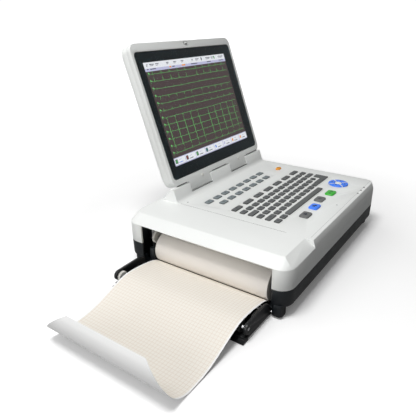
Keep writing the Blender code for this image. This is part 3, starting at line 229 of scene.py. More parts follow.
def plastic(name, colour, gloss_loss, drift=0.03, grain=1500.0, depth=0.00006, coat=0.0):
    material, tree, shader = blank_material(name)
    skin = use_group(tree, MOULDED_SKIN, Colour=(*colour, 1), Drift=drift, Gloss_loss=gloss_loss,
                     Grain_per_metre=grain)
    link(tree, skin.outputs["Colour"], shader.inputs["Base Color"])
    link(tree, skin.outputs["Roughness"], shader.inputs["Roughness"])
    raise_surface(tree, shader, skin.outputs["Height"], depth)
    shader.inputs["Coat Weight"].default_value = coat
    shader.inputs["Coat Roughness"].default_value = 0.2
    return material


def metal(name, colour, gloss_loss):
    material, tree, shader = blank_material(name)
    shader.inputs["Base Color"].default_value = (*colour, 1)
    shader.inputs["Metallic"].default_value = 1.0
    brushed = use_group(tree, BRUSHED_METAL, Gloss_loss=gloss_loss)
    link(tree, brushed.outputs["Roughness"], shader.inputs["Roughness"])
    raise_surface(tree, shader, brushed.outputs["Height"], 0.00003, 0.3)
    return material


def lit(name, colour, strength=1.0):
    """A lit area of the picture: black of its own, glowing evenly, with faint cell structure."""
    material, tree, shader = blank_material(name)
    shader.inputs["Base Color"].default_value = (0.01, 0.01, 0.01, 1)
    shader.inputs["Roughness"].default_value = 0.6
    cells = use_group(tree, MOULDED_SKIN, Colour=(*colour, 1), Drift=0.04, Grain_per_metre=3000.0)
    link(tree, cells.outputs["Colour"], shader.inputs["Emission Color"])
    shader.inputs["Emission Strength"].default_value = strength
    return material


def printed_paper():
    """Chart paper: pale stock with a fine and a bold grid ruled in beige."""
    material, tree, shader = blank_material("grid_printed_paper")
    place = tree.nodes.new("ShaderNodeUVMap")
    fibre = use_group(tree, MOULDED_SKIN, Colour=(0.82, 0.785, 0.72, 1), Drift=0.02, Gloss_loss=0.62,
                      Grain_per_metre=900.0)
    previous = fibre.outputs["Colour"]
    for pitch, share, ink in ((0.001, 0.16, (0.79, 0.74, 0.65, 1)), (0.005, 0.12, (0.62, 0.51, 0.41, 1))):
        lines = use_group(tree, RULED_LINES, Pitch=pitch, Line_share=share)
        link(tree, place.outputs[0], lines.inputs["Place"])
        mix = tree.nodes.new("ShaderNodeMix")
        mix.data_type = "RGBA"
        mix.inputs["B"].default_value = ink
        link(tree, previous, mix.inputs["A"])
        link(tree, math_node(tree, "MULTIPLY", lines.outputs["Mask"], 0.55), mix.inputs["Factor"])
        previous = mix.outputs["Result"]
    link(tree, previous, shader.inputs["Base Color"])
    link(tree, fibre.outputs["Roughness"], shader.inputs["Roughness"])
    raise_surface(tree, shader, fibre.outputs["Height"], 0.00004)
    return material


def wound_paper():
    """Tight turns of paper: rings on the ends, and faint edge lines round the roll."""
    material, tree, shader = blank_material("wound_chart_paper")
    fibre = use_group(tree, MOULDED_SKIN, Colour=(0.84, 0.80, 0.75, 1), Drift=0.03, Gloss_loss=0.62,
                      Grain_per_metre=900.0)
    link(tree, fibre.outputs["Colour"], shader.inputs["Base Color"])
    link(tree, fibre.outputs["Roughness"], shader.inputs["Roughness"])
    centre = tree.nodes.new("ShaderNodeMapping")
    low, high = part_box("paper_roll")
    middle = [(a + b) / 2 for a, b in zip(low, high)]
    centre.inputs["Location"].default_value = (-middle[0], 0, -middle[2])
    centre.inputs["Scale"].default_value = (1, 0, 1)
    link(tree, tree.nodes.new("ShaderNodeTexCoord").outputs["Object"], centre.inputs["Vector"])
    rings = tree.nodes.new("ShaderNodeTexWave")
    rings.wave_type = "RINGS"
    rings.rings_direction = "SPHERICAL"
    rings.inputs["Scale"].default_value = 260.0
    rings.inputs["Distortion"].default_value = 0.4
    link(tree, centre.outputs[0], rings.inputs["Vector"])
    raise_surface(tree, shader, rings.outputs["Fac"], 0.0001)
    return material


def cover_glass():
    material, tree, shader = blank_material("cover_glass")
    shader.inputs["Base Color"].default_value = (0.93, 0.96, 0.96, 1)
    shader.inputs["Transmission Weight"].default_value = 1.0
    shader.inputs["IOR"].default_value = 1.45
    smear = noise_node(tree, tree.nodes.new("ShaderNodeTexCoord").outputs["Object"], 30.0, 5.0)
    link(tree, remap(tree, smear, 0.015, 0.05), shader.inputs["Roughness"])
    return material


WHITE = plastic("cool_white_case", (0.80, 0.815, 0.80), 0.40, 0.025)
LID_WHITE = plastic("cool_white_lid", (0.80, 0.815, 0.80), 0.38, 0.025)
TRAY_WHITE = plastic("key_surround_white", (0.78, 0.79, 0.775), 0.5, 0.02, depth=0.00003)
DARK = plastic("navy_black_case", (0.0065, 0.0095, 0.0125), 0.42, 0.12)
BLACK = plastic("satin_black", (0.007, 0.008, 0.009), 0.36, 0.10)
MASK = plastic("glass_border_black", (0.016, 0.034, 0.044), 0.3, 0.03, depth=0.000001)
RUBBER = plastic("moulded_rubber", (0.022, 0.022, 0.023), 0.75, 0.15, 2200.0, 0.0001)
# Key faces and skirts: each skirt material is a darker copy of its face, painted shade on the sides of the
# keys
KEY_TOP = plastic("letter_key_face", (0.115, 0.122, 0.122), 0.55, 0.06, 2600.0)
KEY_SKIRT_SHADE = plastic("letter_key_skirt_painted_shade", (0.052, 0.056, 0.056), 0.6, 0.06, 2600.0)
SHORTCUT_TOP = plastic("shortcut_key_face", (0.205, 0.240, 0.248), 0.5, 0.05, 2600.0)
SHORTCUT_SKIRT_SHADE = plastic("shortcut_key_skirt_painted_shade", (0.105, 0.125, 0.130), 0.55, 0.05, 2600.0)
GREY = plastic("grey_button", (0.135, 0.140, 0.140), 0.42, 0.04, coat=0.1)
BLUE = plastic("blue_button", (0.045, 0.225, 0.98), 0.36, 0.04, coat=0.2)
GREEN = plastic("green_button", (0.030, 0.46, 0.022), 0.36, 0.04, coat=0.2)
ORANGE = plastic("orange_button", (0.92, 0.36, 0.010), 0.38, 0.04, coat=0.2)
INK = plastic("dark_print", (0.010, 0.012, 0.030), 0.5, 0.05)
NYLON = plastic("natural_nylon", (0.74, 0.73, 0.69), 0.5, 0.04)
CLAY = plastic("print_head_glaze", (0.72, 0.70, 0.64), 0.25, 0.03, coat=0.4)
BOARD = plastic("solder_mask_green", (0.015, 0.12, 0.05), 0.35, 0.1)
LENS = plastic("smoked_lens", (0.045, 0.048, 0.050), 0.18, 0.03, coat=0.5)
SHADOW_GAP = plastic("shadow_gap", (0.05, 0.05, 0.05), 0.8, 0.05)
# Mid grey painted shade for shallow grooves
GROOVE_SHADE_GREY = plastic("painted_groove_shade_grey", (0.42, 0.43, 0.42), 0.6, 0.05)
PLATE = plastic("silver_label", (0.55, 0.56, 0.57), 0.35, 0.03, depth=0.00001)
STEEL = metal("ground_steel", (0.60, 0.60, 0.61), 0.24)
ALUMINIUM = metal("extruded_aluminium", (0.71, 0.72, 0.73), 0.32)
PAPER = printed_paper()
PLAIN_PAPER = plastic("plain_paper_back", (0.86, 0.86, 0.855), 0.62, 0.02, 900.0, 0.00004)
ROLL_PAPER = wound_paper()
GLASS = cover_glass()
FIELD = lit("trace_field", (0.088, 0.060, 0.062), 0.9)
BAR_WHITE = lit("picture_white", (0.92, 0.92, 0.96))
BAR_LAVENDER = lit("picture_lavender", (0.58, 0.57, 0.80))
TRACE = lit("trace_green", (0.15, 0.60, 0.15), 1.15)
ICON_GREEN = lit("icon_green", (0.10, 0.38, 0.12))
ICON_DARK = lit("icon_dark", (0.05, 0.05, 0.09))
ICON_ORANGE = lit("icon_orange", (0.95, 0.33, 0.04))
ICON_BLUE = lit("icon_blue", (0.20, 0.33, 0.85))
ICON_TEAL = lit("icon_teal", (0.05, 0.22, 0.22))
ICON_MAROON = lit("icon_maroon", (0.25, 0.07, 0.06))


# ---------------------------------------------------------------- mesh helpers
def new_piece(name, bm, body, materials, smooth=True, angle=35):
    mesh = bpy.data.meshes.new(name)
    bmesh.ops.recalc_face_normals(bm, faces=bm.faces)
    bm.to_mesh(mesh)
    bm.free()
    piece = bpy.data.objects.new(name, mesh)
    bpy.context.scene.collection.objects.link(piece)
    for material in materials if isinstance(materials, (list, tuple)) else (materials,):
        mesh.materials.append(material)
    if smooth:
        mesh.shade_smooth()
        mesh.set_sharp_from_angle(angle=math.radians(angle))
    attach(piece, body)
    return piece


def soften(piece, width, segments=3):
    weld = piece.modifiers.new("weld", "WELD")
    weld.merge_threshold = 0.00002
    bevel = piece.modifiers.new("soft_edges", "BEVEL")
    bevel.width = width * MM
    bevel.segments = segments
    bevel.limit_method = "ANGLE"
    bevel.angle_limit = math.radians(30)
    bevel.harden_normals = True
    bevel.use_clamp_overlap = True
    return piece


def rounded_outline(x0, x1, y0, y1, radius, steps):
    """A rectangle with rounded corners of so many steps each."""
    outline = []
    for cx, cy, start in ((x1 - radius, y1 - radius, 0), (x0 + radius, y1 - radius, 90),
                          (x0 + radius, y0 + radius, 180), (x1 - radius, y0 + radius, 270)):
        for i in range(steps + 1):
            angle = math.radians(start + 90 * i / steps)
            outline.append((cx + radius * math.cos(angle), cy + radius * math.sin(angle)))
    return outline


def join_rings(bm, rings, skirt=0):
    """A closed body through rings of points. Its bottom and its first skirt bands take slot 1."""
    loops = [[bm.verts.new(p) for p in ring] for ring in rings]
    count = len(loops[0])
    for k, (a, b) in enumerate(zip(loops, loops[1:])):
        for i in range(count):
            j = (i + 1) % count
            bm.faces.new((a[i], a[j], b[j], b[i])).material_index = int(k < skirt)
    bm.faces.new(loops[0]).material_index = int(skirt > 0)
    bm.faces.new(loops[-1])


def shrink(outline, amount):
    """The outline moved inwards by amount along its own corner bisectors."""
    moved = []
    count = len(outline)
    for i in range(count):
        before = Vector(outline[i - 1])
        here = Vector(outline[i])
        after = Vector(outline[(i + 1) % count])
        first = (here - before).normalized()
        second = (after - here).normalized()
        normal = Vector((-(first.y + second.y), first.x + second.x))
        if normal.length < 1e-9:
            normal = Vector((-first.y, first.x))
        moved.append(tuple(here + normal.normalized() * amount))
    return moved


def flat_shape(bm, outline, to_frame, level, thickness):
    """A thin printed or inlaid shape lying on a surface."""
    join_rings(bm, [[to_frame(*p, level) for p in outline],
                    [to_frame(*p, level + thickness) for p in outline]])


def box_outline(x, y, width, height):
    return [(x - width / 2, y - height / 2), (x + width / 2, y - height / 2),
            (x + width / 2, y + height / 2), (x - width / 2, y + height / 2)]


def disc_outline(x, y, radius, steps):
    return [(x + radius * math.cos(math.tau * i / steps), y + radius * math.sin(math.tau * i / steps))
            for i in range(steps)]


def marks(name, body, material, shapes):
    """Thin inlays; each shape is (outline, frame function, level, thickness)."""
    bm = bmesh.new()
    for outline, to_frame, level, thickness in shapes:
        flat_shape(bm, outline, to_frame, level, thickness)
    new_piece(name, bm, body, material, smooth=False)


# ---------------------------------------------------------------- carried-over parts
def dress(node, material, bevel, segments):
    """Gives a carried-over part its finish and rolled edges."""
    piece = nodes[node]
    piece.data.materials.clear()
    piece.data.materials.append(material)
    piece.data.shade_smooth()
    piece.data.set_sharp_from_angle(angle=math.radians(35))
    if bevel:
        soften(piece, bevel, segments)


def dress_carried_parts():
    finishes = (
        ("upper_housing", WHITE, 1.1, 3), ("lower_housing", DARK, 0.8, 3),
        ("paper_bay_liner", DARK, 0.4, 2), ("lid_bezel", LID_WHITE, 0.7, 3),
        ("lid_back_cover", LID_WHITE, 1.6, 4), ("display_glass", GLASS, 0.0, 0),
        ("lid_latch_hook", LID_WHITE, 0.3, 2), ("lid_bumper_left", NYLON, 0.4, 3),
        ("lid_bumper_right", NYLON, 0.4, 3), ("hinge_shaft_left", STEEL, 0.3, 2),
        ("hinge_shaft_right", STEEL, 0.3, 2), ("paper_roll", ROLL_PAPER, 0.3, 2),
        ("roll_spindle", BLACK, 0.3, 2), ("paper_door", BLACK, 0.5, 2),
        ("door_hinge_pin", STEEL, 0.2, 2), ("door_latch_pin", STEEL, 0.3, 2),
        ("door_latch_lever", BLACK, 0.35, 2), ("platen_roller", RUBBER, 0.3, 2),
        ("platen_shaft", STEEL, 0.2, 2), ("platen_gear", NYLON, 0.0, 0),
        ("motor_plate", STEEL, 0.2, 2), ("drive_gear", NYLON, 0.0, 0),
        ("motor_pinion", NYLON, 0.0, 0), ("drive_motor", BLACK, 0.6, 2),
        ("print_head_ceramic", CLAY, 0.2, 2), ("print_head_heat_sink", ALUMINIUM, 0.2, 2),
        ("print_head_bracket", STEEL, 0.2, 2), ("print_button", GREY, 0.5, 3),
        ("review_button", GREY, 0.5, 3), ("copy_button", BLUE, 0.5, 3),
        ("start_button", GREEN, 0.5, 3), ("power_button", ORANGE, 0.5, 3),
        ("arrow_up", BLUE, 0.5, 3), ("arrow_down", BLUE, 0.5, 3), ("arrow_left", BLUE, 0.5, 3),
        ("arrow_right", BLUE, 0.5, 3), ("confirm_button", LID_WHITE, 0.5, 3),
        ("mains_light", LENS, 0.3, 2), ("battery_light", LENS, 0.3, 2),
        ("charge_light", LENS, 0.3, 2), ("enter_key", KEY_TOP, 0.6, 3),
        ("space_key", KEY_TOP, 0.6, 3), ("main_board", BOARD, 0.2, 2),
        ("power_supply", ALUMINIUM, 0.8, 2), ("battery_pack", BLACK, 1.2, 3),
        ("loudspeaker", BLACK, 0.4, 2), ("patient_port", DARK, 0.6, 2),
        ("mains_inlet", BLACK, 0.4, 2), ("network_port", STEEL, 0.25, 2),
        ("usb_port", STEEL, 0.25, 2), ("earth_stud", STEEL, 0.4, 2),
        ("foot_pad_front_left", RUBBER, 0.4, 3), ("foot_pad_back_left", RUBBER, 0.4, 3),
        ("foot_pad_front_right", RUBBER, 0.4, 3), ("foot_pad_back_right", RUBBER, 0.4, 3))
    for node, material, bevel, segments in finishes:
        dress(node, material, bevel, segments)


# ---------------------------------------------------------------- keys
KEY_PITCH = 19.65
TRAY_TOP = DECK - 0.1
KEY_TOP_LEVEL = DECK + 1.9
KEY_RIM = 0.9  # height of a key's rolled edge
KEY_SIZE = (14.8, 10)


def add_key(bm, outline, low, high):
    """A key cap with upright skirt, rolled edge and flat face; the skirt and the lower rim bands take the
    second material, painted shade.
    """
    rim = KEY_RIM
    steps = ((0.0, low), (0.0, high - rim), (0.12 * rim, high - 0.62 * rim),
             (0.38 * rim, high - 0.25 * rim), (0.85 * rim, high - 0.03 * rim), (1.1 * rim, high))
    rings = [[case_point(*p, level) for p in (shrink(outline, inset) if inset else outline)]
             for inset, level in steps]
    join_rings(bm, rings, skirt=3)


def letter_key_places():
    """(x, y, width, depth) of every letter key, in the same places as the moulded mat's."""
    places = [(121.4 + i * 37, 158.3, 25, 9.8) for i in range(7)]
    places += [(114.9 + i * KEY_PITCH, 141, *KEY_SIZE) for i in range(13)]
    places += [(144.6 + i * KEY_PITCH, 125.2, *KEY_SIZE) for i in range(10)]
    places += [(119.8, 125.2, 24.4, 10), (346.3, 125.2, 24.4, 10)]
    places += [(115.6 + i * KEY_PITCH, 109.3, *KEY_SIZE) for i in range(11)]
    places += [(115.6 + 11 * KEY_PITCH - 1.2, 109.3, 9.4, 10)]
    places += [(145.0 + i * KEY_PITCH, 93.3, *KEY_SIZE) for i in range(9)]
    places += [(120.6, 93.3, 25.4, 10)]
    return places + [(115.6, 77, *KEY_SIZE), (115.6 + KEY_PITCH - 0.2, 77, *KEY_SIZE)]


def shortcut_key_places():
    places = [(119.5 + i * 25.7, 215.2, 17.4, 10.4) for i in range(8)]
    return places + [(132.6 + i * 25.7, 193.2, 17.4, 10.4) for i in range(7)]


def key_bank(name, node, places, top, side, tray_outline):
    tray = bmesh.new()
    rings = [[case_point(*p, level) for p in shrink(tray_outline, inset)]
             for inset, level in ((0.35, DECK - 1.1), (0.35, TRAY_TOP - 0.3), (0.6, TRAY_TOP))]
    join_rings(tray, rings)
    surround = new_piece(name + "_surround", tray, "base", TRAY_WHITE)
    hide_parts(node)
    keys = bmesh.new()
    legends = []
    for number, (x, y, width, depth) in enumerate(places):
        outline = rounded_outline(x - width / 2, x + width / 2, y - depth / 2, y + depth / 2, 2.0, 3)
        add_key(keys, outline, TRAY_TOP - 0.2, KEY_TOP_LEVEL)
        mark = 2.2 + 1.1 * ((number * 7) % 3)  # legends vary in length from key to key
        for step, share in ((-1.1, 1.0), (0.9, 0.55 + 0.2 * (number % 2))):
            legends.append((box_outline(x - 0.6, y - step, mark * share + 0.8, 1.05), case_point,
                            KEY_TOP_LEVEL - 0.02, 0.06))
    # The second material, on the skirts, is a darker copy of the face: painted shade
    made = new_piece(name, keys, "base", [top, side])
    marks(name + "_legends", "base", INK, legends)


def make_keys():
    letter_tray = [(104, 68.5), (296, 68.5), (296, 84), (362, 84), (362, 167), (104, 167)]
    key_bank("letter_keys", "letter_keypad", letter_key_places(), KEY_TOP, KEY_SKIRT_SHADE, letter_tray)
    shortcut_tray = rounded_outline(107.5, 312, 185.5, 223, 3, 3)
    key_bank("shortcut_keys", "function_keypad", shortcut_key_places(), SHORTCUT_TOP, SHORTCUT_SKIRT_SHADE,
             shortcut_tray)


# ---------------------------------------------------------------- signs on the buttons
BUTTON_TOP = DECK + 2.4
ARROW_REACH = 13.0  # from the centre of the arrow keys to each arrow


def flat_sign(name, body, outlines):
    marks(name, body, INK, [(outline, case_point, BUTTON_TOP - 0.03, 0.08) for outline in outlines])


def arrow_outline(x, y, heading, size):
    """A solid triangle pointing along heading, in degrees from +X."""
    points = ((1.0, 0.0), (-0.6, 0.85), (-0.6, -0.85))
    c, s = math.cos(math.radians(heading)), math.sin(math.radians(heading))
    return [(x + size * (a * c - b * s), y + size * (a * s + b * c)) for a, b in points]


def make_signs():
    signs = (
        ("start", [arrow_outline(272.8, 51.4, 0, 2.6), box_outline(279.6, 51.4, 1.3, 4.4),
                   box_outline(282.2, 51.4, 1.3, 4.4)]),
        ("copy", [box_outline(199.4, 52.0, 4.6, 5.0), box_outline(202.6, 49.6, 4.0, 4.4)]),
        ("review", [box_outline(237, 56.4, 7.6, 1.2), box_outline(237, 58.6, 7.6, 0.9),
                    box_outline(237, 54.2, 5.0, 0.9)]),
        ("print", [box_outline(160.5, 49.2, 7.0, 3.4), box_outline(160.5, 52.4, 4.6, 1.8)]),
        ("power", [box_outline(351.6, 200.1, 1.0, 3.4), *ring_parts(351.6, 197.6, 2.6, 0.7)]))
    for name, outlines in signs:
        flat_sign(name + "_sign", name + "_button", outlines)
    for name, heading in (("arrow_right", 0), ("arrow_up", 90), ("arrow_left", 180), ("arrow_down", 270)):
        angle = math.radians(heading)
        x, y = (c + ARROW_REACH * turn for c, turn in zip(ARROW_CENTRE, (math.cos(angle), math.sin(angle))))
        flat_sign(name + "_sign", name, [arrow_outline(x, y, heading, 2.2)])


def ring_parts(x, y, radius, width):
    """An open ring as four-sided tiles, with its gap at the top."""
    tiles = []
    for i in range(10):
        a, b = (math.radians(125 + 29 * k) for k in (i, i + 1))
        inner, outer = radius - width / 2, radius + width / 2
        tiles.append([(x + r * math.cos(t), y + r * math.sin(t))
                      for r, t in ((inner, a), (outer, a), (outer, b), (inner, b))])
    return tiles


# ---------------------------------------------------------------- display
# Left, right, bottom and top of the lit picture, the panel behind it and the printed border
PICTURE = (110.6, 356.4, LID_FOOT + 34.3, LID_FOOT + 218.6)
PANEL = (104.5, 362.5, LID_FOOT + 28.4, LID_FOOT + 224.4)
BORDER = (94.6, 380.7, LID_FOOT + 11.9, LID_FOOT + 236.5)
BORDER_GAP = 0.4
GLASS_INSET, GLASS_THICKNESS, GLASS_GAP = 0.3, 1.8, 0.3
PICTURE_DEPTH = LID_FACE + GLASS_INSET + GLASS_THICKNESS + GLASS_GAP
# Behind the picture's own depth
PANEL_FRONT, PANEL_BACK = 0.2, 6.5
BORDER_FRONT, BORDER_BACK = -0.16, -0.04


def beat(phase, shape):
    """Height of one heart beat at a phase from 0 to 1, in millimetres."""
    up, down, tail, early = shape
    height = early * math.exp(-((phase - 0.22) / 0.035) ** 2)
    height -= 0.12 * down * math.exp(-((phase - 0.355) / 0.010) ** 2)
    height += up * math.exp(-((phase - 0.38) / 0.011) ** 2)
    height -= down * math.exp(-((phase - 0.405) / 0.012) ** 2)
    return height + tail * math.exp(-((phase - 0.62) / 0.055) ** 2)


# Up stroke, down stroke, late wave and early wave of each trace
LEADS = ((8.0, 0.8, 1.0, 0.5), (9.2, 0.9, 1.3, 0.6), (2.8, 0.8, 0.6, 0.3), (0.5, 5.8, -0.8, -0.4),
         (2.6, 1.2, 0.5, 0.3), (4.8, 0.7, 0.9, 0.5), (0.8, 5.2, 1.2, 0.3), (7.5, 10.0, 1.2, 0.5),
         (9.0, 9.0, 1.3, 0.5), (9.5, 7.5, 1.2, 0.5), (7.5, 4.5, 1.0, 0.6), (5.4, 1.2, 1.0, 0.5))


def picture_point(u, v, level):
    """u to the right and v up the picture, level towards the viewer."""
    return lid_point(PICTURE[0] + u, PICTURE_DEPTH - level, PICTURE[2] + v)


def ribbon(bm, points, width, level, slot):
    """A trace line of constant width through (u, v) points."""
    left, right = [], []
    for i, point in enumerate(points):
        a = Vector(points[max(i - 1, 0)])
        b = Vector(points[min(i + 1, len(points) - 1)])
        along = (b - a).normalized()
        side = Vector((-along.y, along.x)) * width / 2
        left.append(bm.verts.new(picture_point(*(Vector(point) + side), level)))
        right.append(bm.verts.new(picture_point(*(Vector(point) - side), level)))
    for i in range(len(points) - 1):
        bm.faces.new((left[i], right[i], right[i + 1], left[i + 1])).material_index = slot


def tile(bm, u, v, width, height, level, slot):
    """A flat lit area of the picture, centred on (u, v)."""
    corners = [bm.verts.new(picture_point(*p, level)) for p in box_outline(u, v, width, height)]
    bm.faces.new(corners).material_index = slot


PALETTE = [FIELD, BAR_WHITE, BAR_LAVENDER, TRACE, ICON_GREEN, ICON_DARK, ICON_ORANGE, ICON_BLUE, ICON_TEAL,
           ICON_MAROON]
(S_FIELD, S_WHITE, S_LAVENDER, S_TRACE, S_GREEN, S_DARK, S_ORANGE, S_BLUE, S_TEAL,
 S_MAROON) = range(len(PALETTE))


def draw_status_bars(bm, width, height):
    """Header and footer of the picture, with short bars for words and squares for icons."""
    tile(bm, width / 2, height - 4.2, width, 8.4, 0.02, S_WHITE)
    tile(bm, width / 2, height - 12.0, width, 7.2, 0.02, S_LAVENDER)
    for i in range(5):
        tile(bm, width / 2, height - 8.6 - i * 1.3, width, 1.3, 0.03 + 0.002 * i,
             S_WHITE if i < 2 else S_LAVENDER)
    for u, length in ((6, 4), (14, 12), (29, 9), (58, 7), (78, 8), (100, 8), (133, 4), (144, 12), (178, 16),
                      (197, 8), (222, 18)):
        tile(bm, u + length / 2, height - 4.0, length, 1.3, 0.05, S_DARK)
        tile(bm, u + length / 2 - 0.8, height - 6.3, length * 0.7, 0.9, 0.05, S_DARK)
    for u, slot in ((164, S_DARK), (208, S_GREEN)):
        tile(bm, u, height - 5.0, 3.4, 5.6, 0.06, slot)
    for u, length, slot in ((5, 4, S_DARK), (13, 15, S_DARK), (64, 5, S_ORANGE), (72, 7, S_DARK),
                            (100, 10, S_ORANGE), (128, 20, S_DARK), (180, 14, S_DARK), (222, 16, S_DARK)):
        tile(bm, u + length / 2, height - 12.0, length, 2.6 if slot == S_ORANGE else 1.5, 0.06, slot)

    tile(bm, width / 2, 7.2, width, 14.4, 0.02, S_LAVENDER)
    colours = (S_GREEN, S_MAROON, S_GREEN, S_TEAL, S_BLUE, S_LAVENDER, S_ORANGE, S_ORANGE)
    pitch = width / len(colours)
    for i, slot in enumerate(colours):
        u = pitch * i
        tile(bm, u + pitch / 2 + 0.4, 7.4, pitch - 1.6, 11.6, 0.03, S_WHITE)
        tile(bm, u + 6.0, 7.6, 6.4, 7.8, 0.05, S_DARK if i < 4 else S_WHITE)
        tile(bm, u + 6.0, 7.6, 4.4, 5.4, 0.06, slot)
        tile(bm, u + 17.4, 4.6, 11.0, 1.3, 0.05, S_DARK if i else S_BLUE)
        tile(bm, u + 17.0, 9.6, 7.0, 1.1, 0.05, S_LAVENDER)


BEAT_PHASES = (0.0, 0.13, 0.17, 0.20, 0.22, 0.24, 0.27, 0.31, 0.345, 0.357, 0.368, 0.38, 0.392, 0.405,
               0.42, 0.44, 0.48, 0.53, 0.57, 0.60, 0.63, 0.67, 0.72, 0.80, 0.90)
BEATS = 10.3
TRACE_WIDTH = 0.44
LONG_PAUSE = 5  # the beat that comes late


def draw_traces(bm, width, height):
    """One trace a row, each with a small tag at its left end."""
    top, bottom = height - 21.0, 22.0
    start, pitch = 11.0, (width - 14.0) / BEATS
    for row, shape in enumerate(LEADS):
        base = top + (bottom - top) * row / (len(LEADS) - 1)
        points = []
        for number in range(int(BEATS) + 1):
            late = 0.45 if number >= LONG_PAUSE else 0.0
            for phase in BEAT_PHASES:
                turns = number + phase + late - 0.2
                if 0.0 <= turns <= BEATS:
                    drift = 0.35 * math.sin(0.9 * turns + row)
                    points.append((start + pitch * turns, base + drift + beat(phase, shape)))
        ribbon(bm, points, TRACE_WIDTH, 0.08, S_TRACE)
        tile(bm, 5.6, base + 2.2, 2.6, 2.8, 0.07, S_TRACE)
        tile(bm, 8.4, base + 1.2, 1.6, 1.6, 0.07, S_TRACE)
        tile(bm, 5.0, base - 1.4, 2.0, 1.0, 0.07, S_GREEN)


def make_panel_case():
    outline = rounded_outline(*PANEL, 3, 3)
    panel = bmesh.new()
    join_rings(panel, [[lid_point(x, PICTURE_DEPTH + depth, z) for x, z in outline]
                       for depth in (PANEL_BACK, PANEL_FRONT)])
    body = soften(new_piece("display_panel_case", panel, "lid", MASK), 0.5)
    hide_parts("display_panel")


def make_picture():
    """The lit picture: field, status bars and twelve traces."""
    width, height = PICTURE[1] - PICTURE[0], PICTURE[3] - PICTURE[2]
    picture = bmesh.new()
    tile(picture, width / 2, height / 2, width, height, 0.0, S_FIELD)
    draw_status_bars(picture, width, height)
    draw_traces(picture, width, height)
    shown = new_piece("display_picture", picture, "lid", PALETTE, smooth=False)


def make_glass_border():
    """Black border printed behind the glass, open over the picture."""
    left, right, bottom, top = PICTURE
    outer = rounded_outline(*BORDER, 7.4, 6)
    inner = rounded_outline(left - BORDER_GAP, right + BORDER_GAP, bottom - BORDER_GAP, top + BORDER_GAP,
                            0.6, 6)
    border = bmesh.new()
    loops = [[border.verts.new(lid_point(x, PICTURE_DEPTH + depth, z)) for x, z in outline]
             for outline, depth in ((outer, BORDER_FRONT), (inner, BORDER_FRONT),
                                    (inner, BORDER_BACK), (outer, BORDER_BACK))]
    for a, b in zip(loops, loops[1:] + loops[:1]):
        for i in range(len(outer)):
            j = (i + 1) % len(outer)
            border.faces.new((a[i], a[j], b[j], b[i]))
    new_piece("glass_border", border, "lid", MASK, smooth=False)


# ---------------------------------------------------------------- chart paper
# Side view of the sheet from the roll, over the door and down to the table, ahead of its curl
SHEET_PLACES = ((14.5, 14.2), (5, 19.4), (-8, 22.9), (-25, 25.4), (-42, 26.8), (-56, 27.0), (-68, 25.4),
                (-85, 20.4), (-105, 13.0), (-124, 6.6), (-142, 2.6), (-155, 1.3))
CURL_CENTRE = (-167, 43)
CURL_RADIUS = 42
CURL_START, CURL_TURN = 268, 113
SHEET_FRONT, SHEET_BACK = 36.5, 246.5
SHEET_WIDTH = SHEET_BACK - SHEET_FRONT
SHEET_HALF_THICKNESS = 0.11
PAPER_MARGIN = 2.2
# The leading end narrows over this length, by this much at the front and at the back
LEAD_LENGTH, LEAD_FRONT, LEAD_BACK = 44, 30, 50
LEAD_CURVE = 1.4
SHEET_ACROSS = 26  # faces across the sheet


def sheet_line():
    """The sheet's side view, (x, z), from the roll to its leading edge, as a smooth run."""
    knots = [Vector(p) for p in SHEET_PLACES]
    for i in range(10):
        angle = math.radians(CURL_START - CURL_TURN * i / 9)
        knots.append(Vector((CURL_CENTRE[0] + CURL_RADIUS * math.cos(angle),
                             CURL_CENTRE[1] + CURL_RADIUS * math.sin(angle))))
    line = []
    for i in range(len(knots) - 1):
        before, a, b, after = (knots[max(i - 1, 0)], knots[i], knots[i + 1],
                               knots[min(i + 2, len(knots) - 1)])
        for k in range(6):
            t = k / 6
            point = 0.5 * ((2 * a) + (b - before) * t + (2 * before - 5 * a + 4 * b - after) * t * t
                           + (3 * a - before - 3 * b + after) * t ** 3)
            line.append(point)
    return line + [knots[-1]]


def run_lengths(line):
    """Distance from the first point to each point along a line."""
    lengths = [0.0]
    for a, b in zip(line, line[1:]):
        lengths.append(lengths[-1] + (b - a).length)
    return lengths


def sheet_span(length, total):
    """Front and back edges of the sheet at a distance from the roll."""
    share = max(0.0, (length - (total - LEAD_LENGTH)) / LEAD_LENGTH) ** LEAD_CURVE
    return SHEET_FRONT + LEAD_FRONT * share, SHEET_BACK - LEAD_BACK * share


def sheet_columns():
    """Shares of the sheet's width at which its mesh is divided: plain margins, then even columns."""
    margin = PAPER_MARGIN / SHEET_WIDTH
    inner = SHEET_ACROSS - 2
    return [0.0] + [margin + (1 - 2 * margin) * k / inner for k in range(inner + 1)] + [1.0]


def sheet_points(bm, line, spots):
    """Rows of mesh points on the printed and on the plain side of the sheet."""
    printed, plain = [], []
    for i, point in enumerate(line):
        ahead, behind = line[min(i + 1, len(line) - 1)], line[max(i - 1, 0)]
        tangent = (ahead - behind).normalized()
        normal = Vector((tangent.y, -tangent.x))
        for side, lift in ((printed, SHEET_HALF_THICKNESS), (plain, -SHEET_HALF_THICKNESS)):
            place = point + normal * lift
            side.append([bm.verts.new(case_point(place.x, y, place.y)) for y, _ in spots[i]])
    return printed, plain


def cover_side(bm, layer, grid, spots, slot):
    """Faces of one side of the sheet, mapped in metres; the margins stay plain."""
    for i in range(len(grid) - 1):
        for k in range(SHEET_ACROSS):
            corners = ((i, k), (i, k + 1), (i + 1, k + 1), (i + 1, k))
            face = bm.faces.new([grid[r][c] for r, c in corners])
            face.material_index = 1 if k in (0, SHEET_ACROSS - 1) else slot
            for loop, (r, c) in zip(face.loops, corners):
                loop[layer].uv = ((spots[r][c][0] - SHEET_FRONT) * MM, spots[r][c][1] * MM)


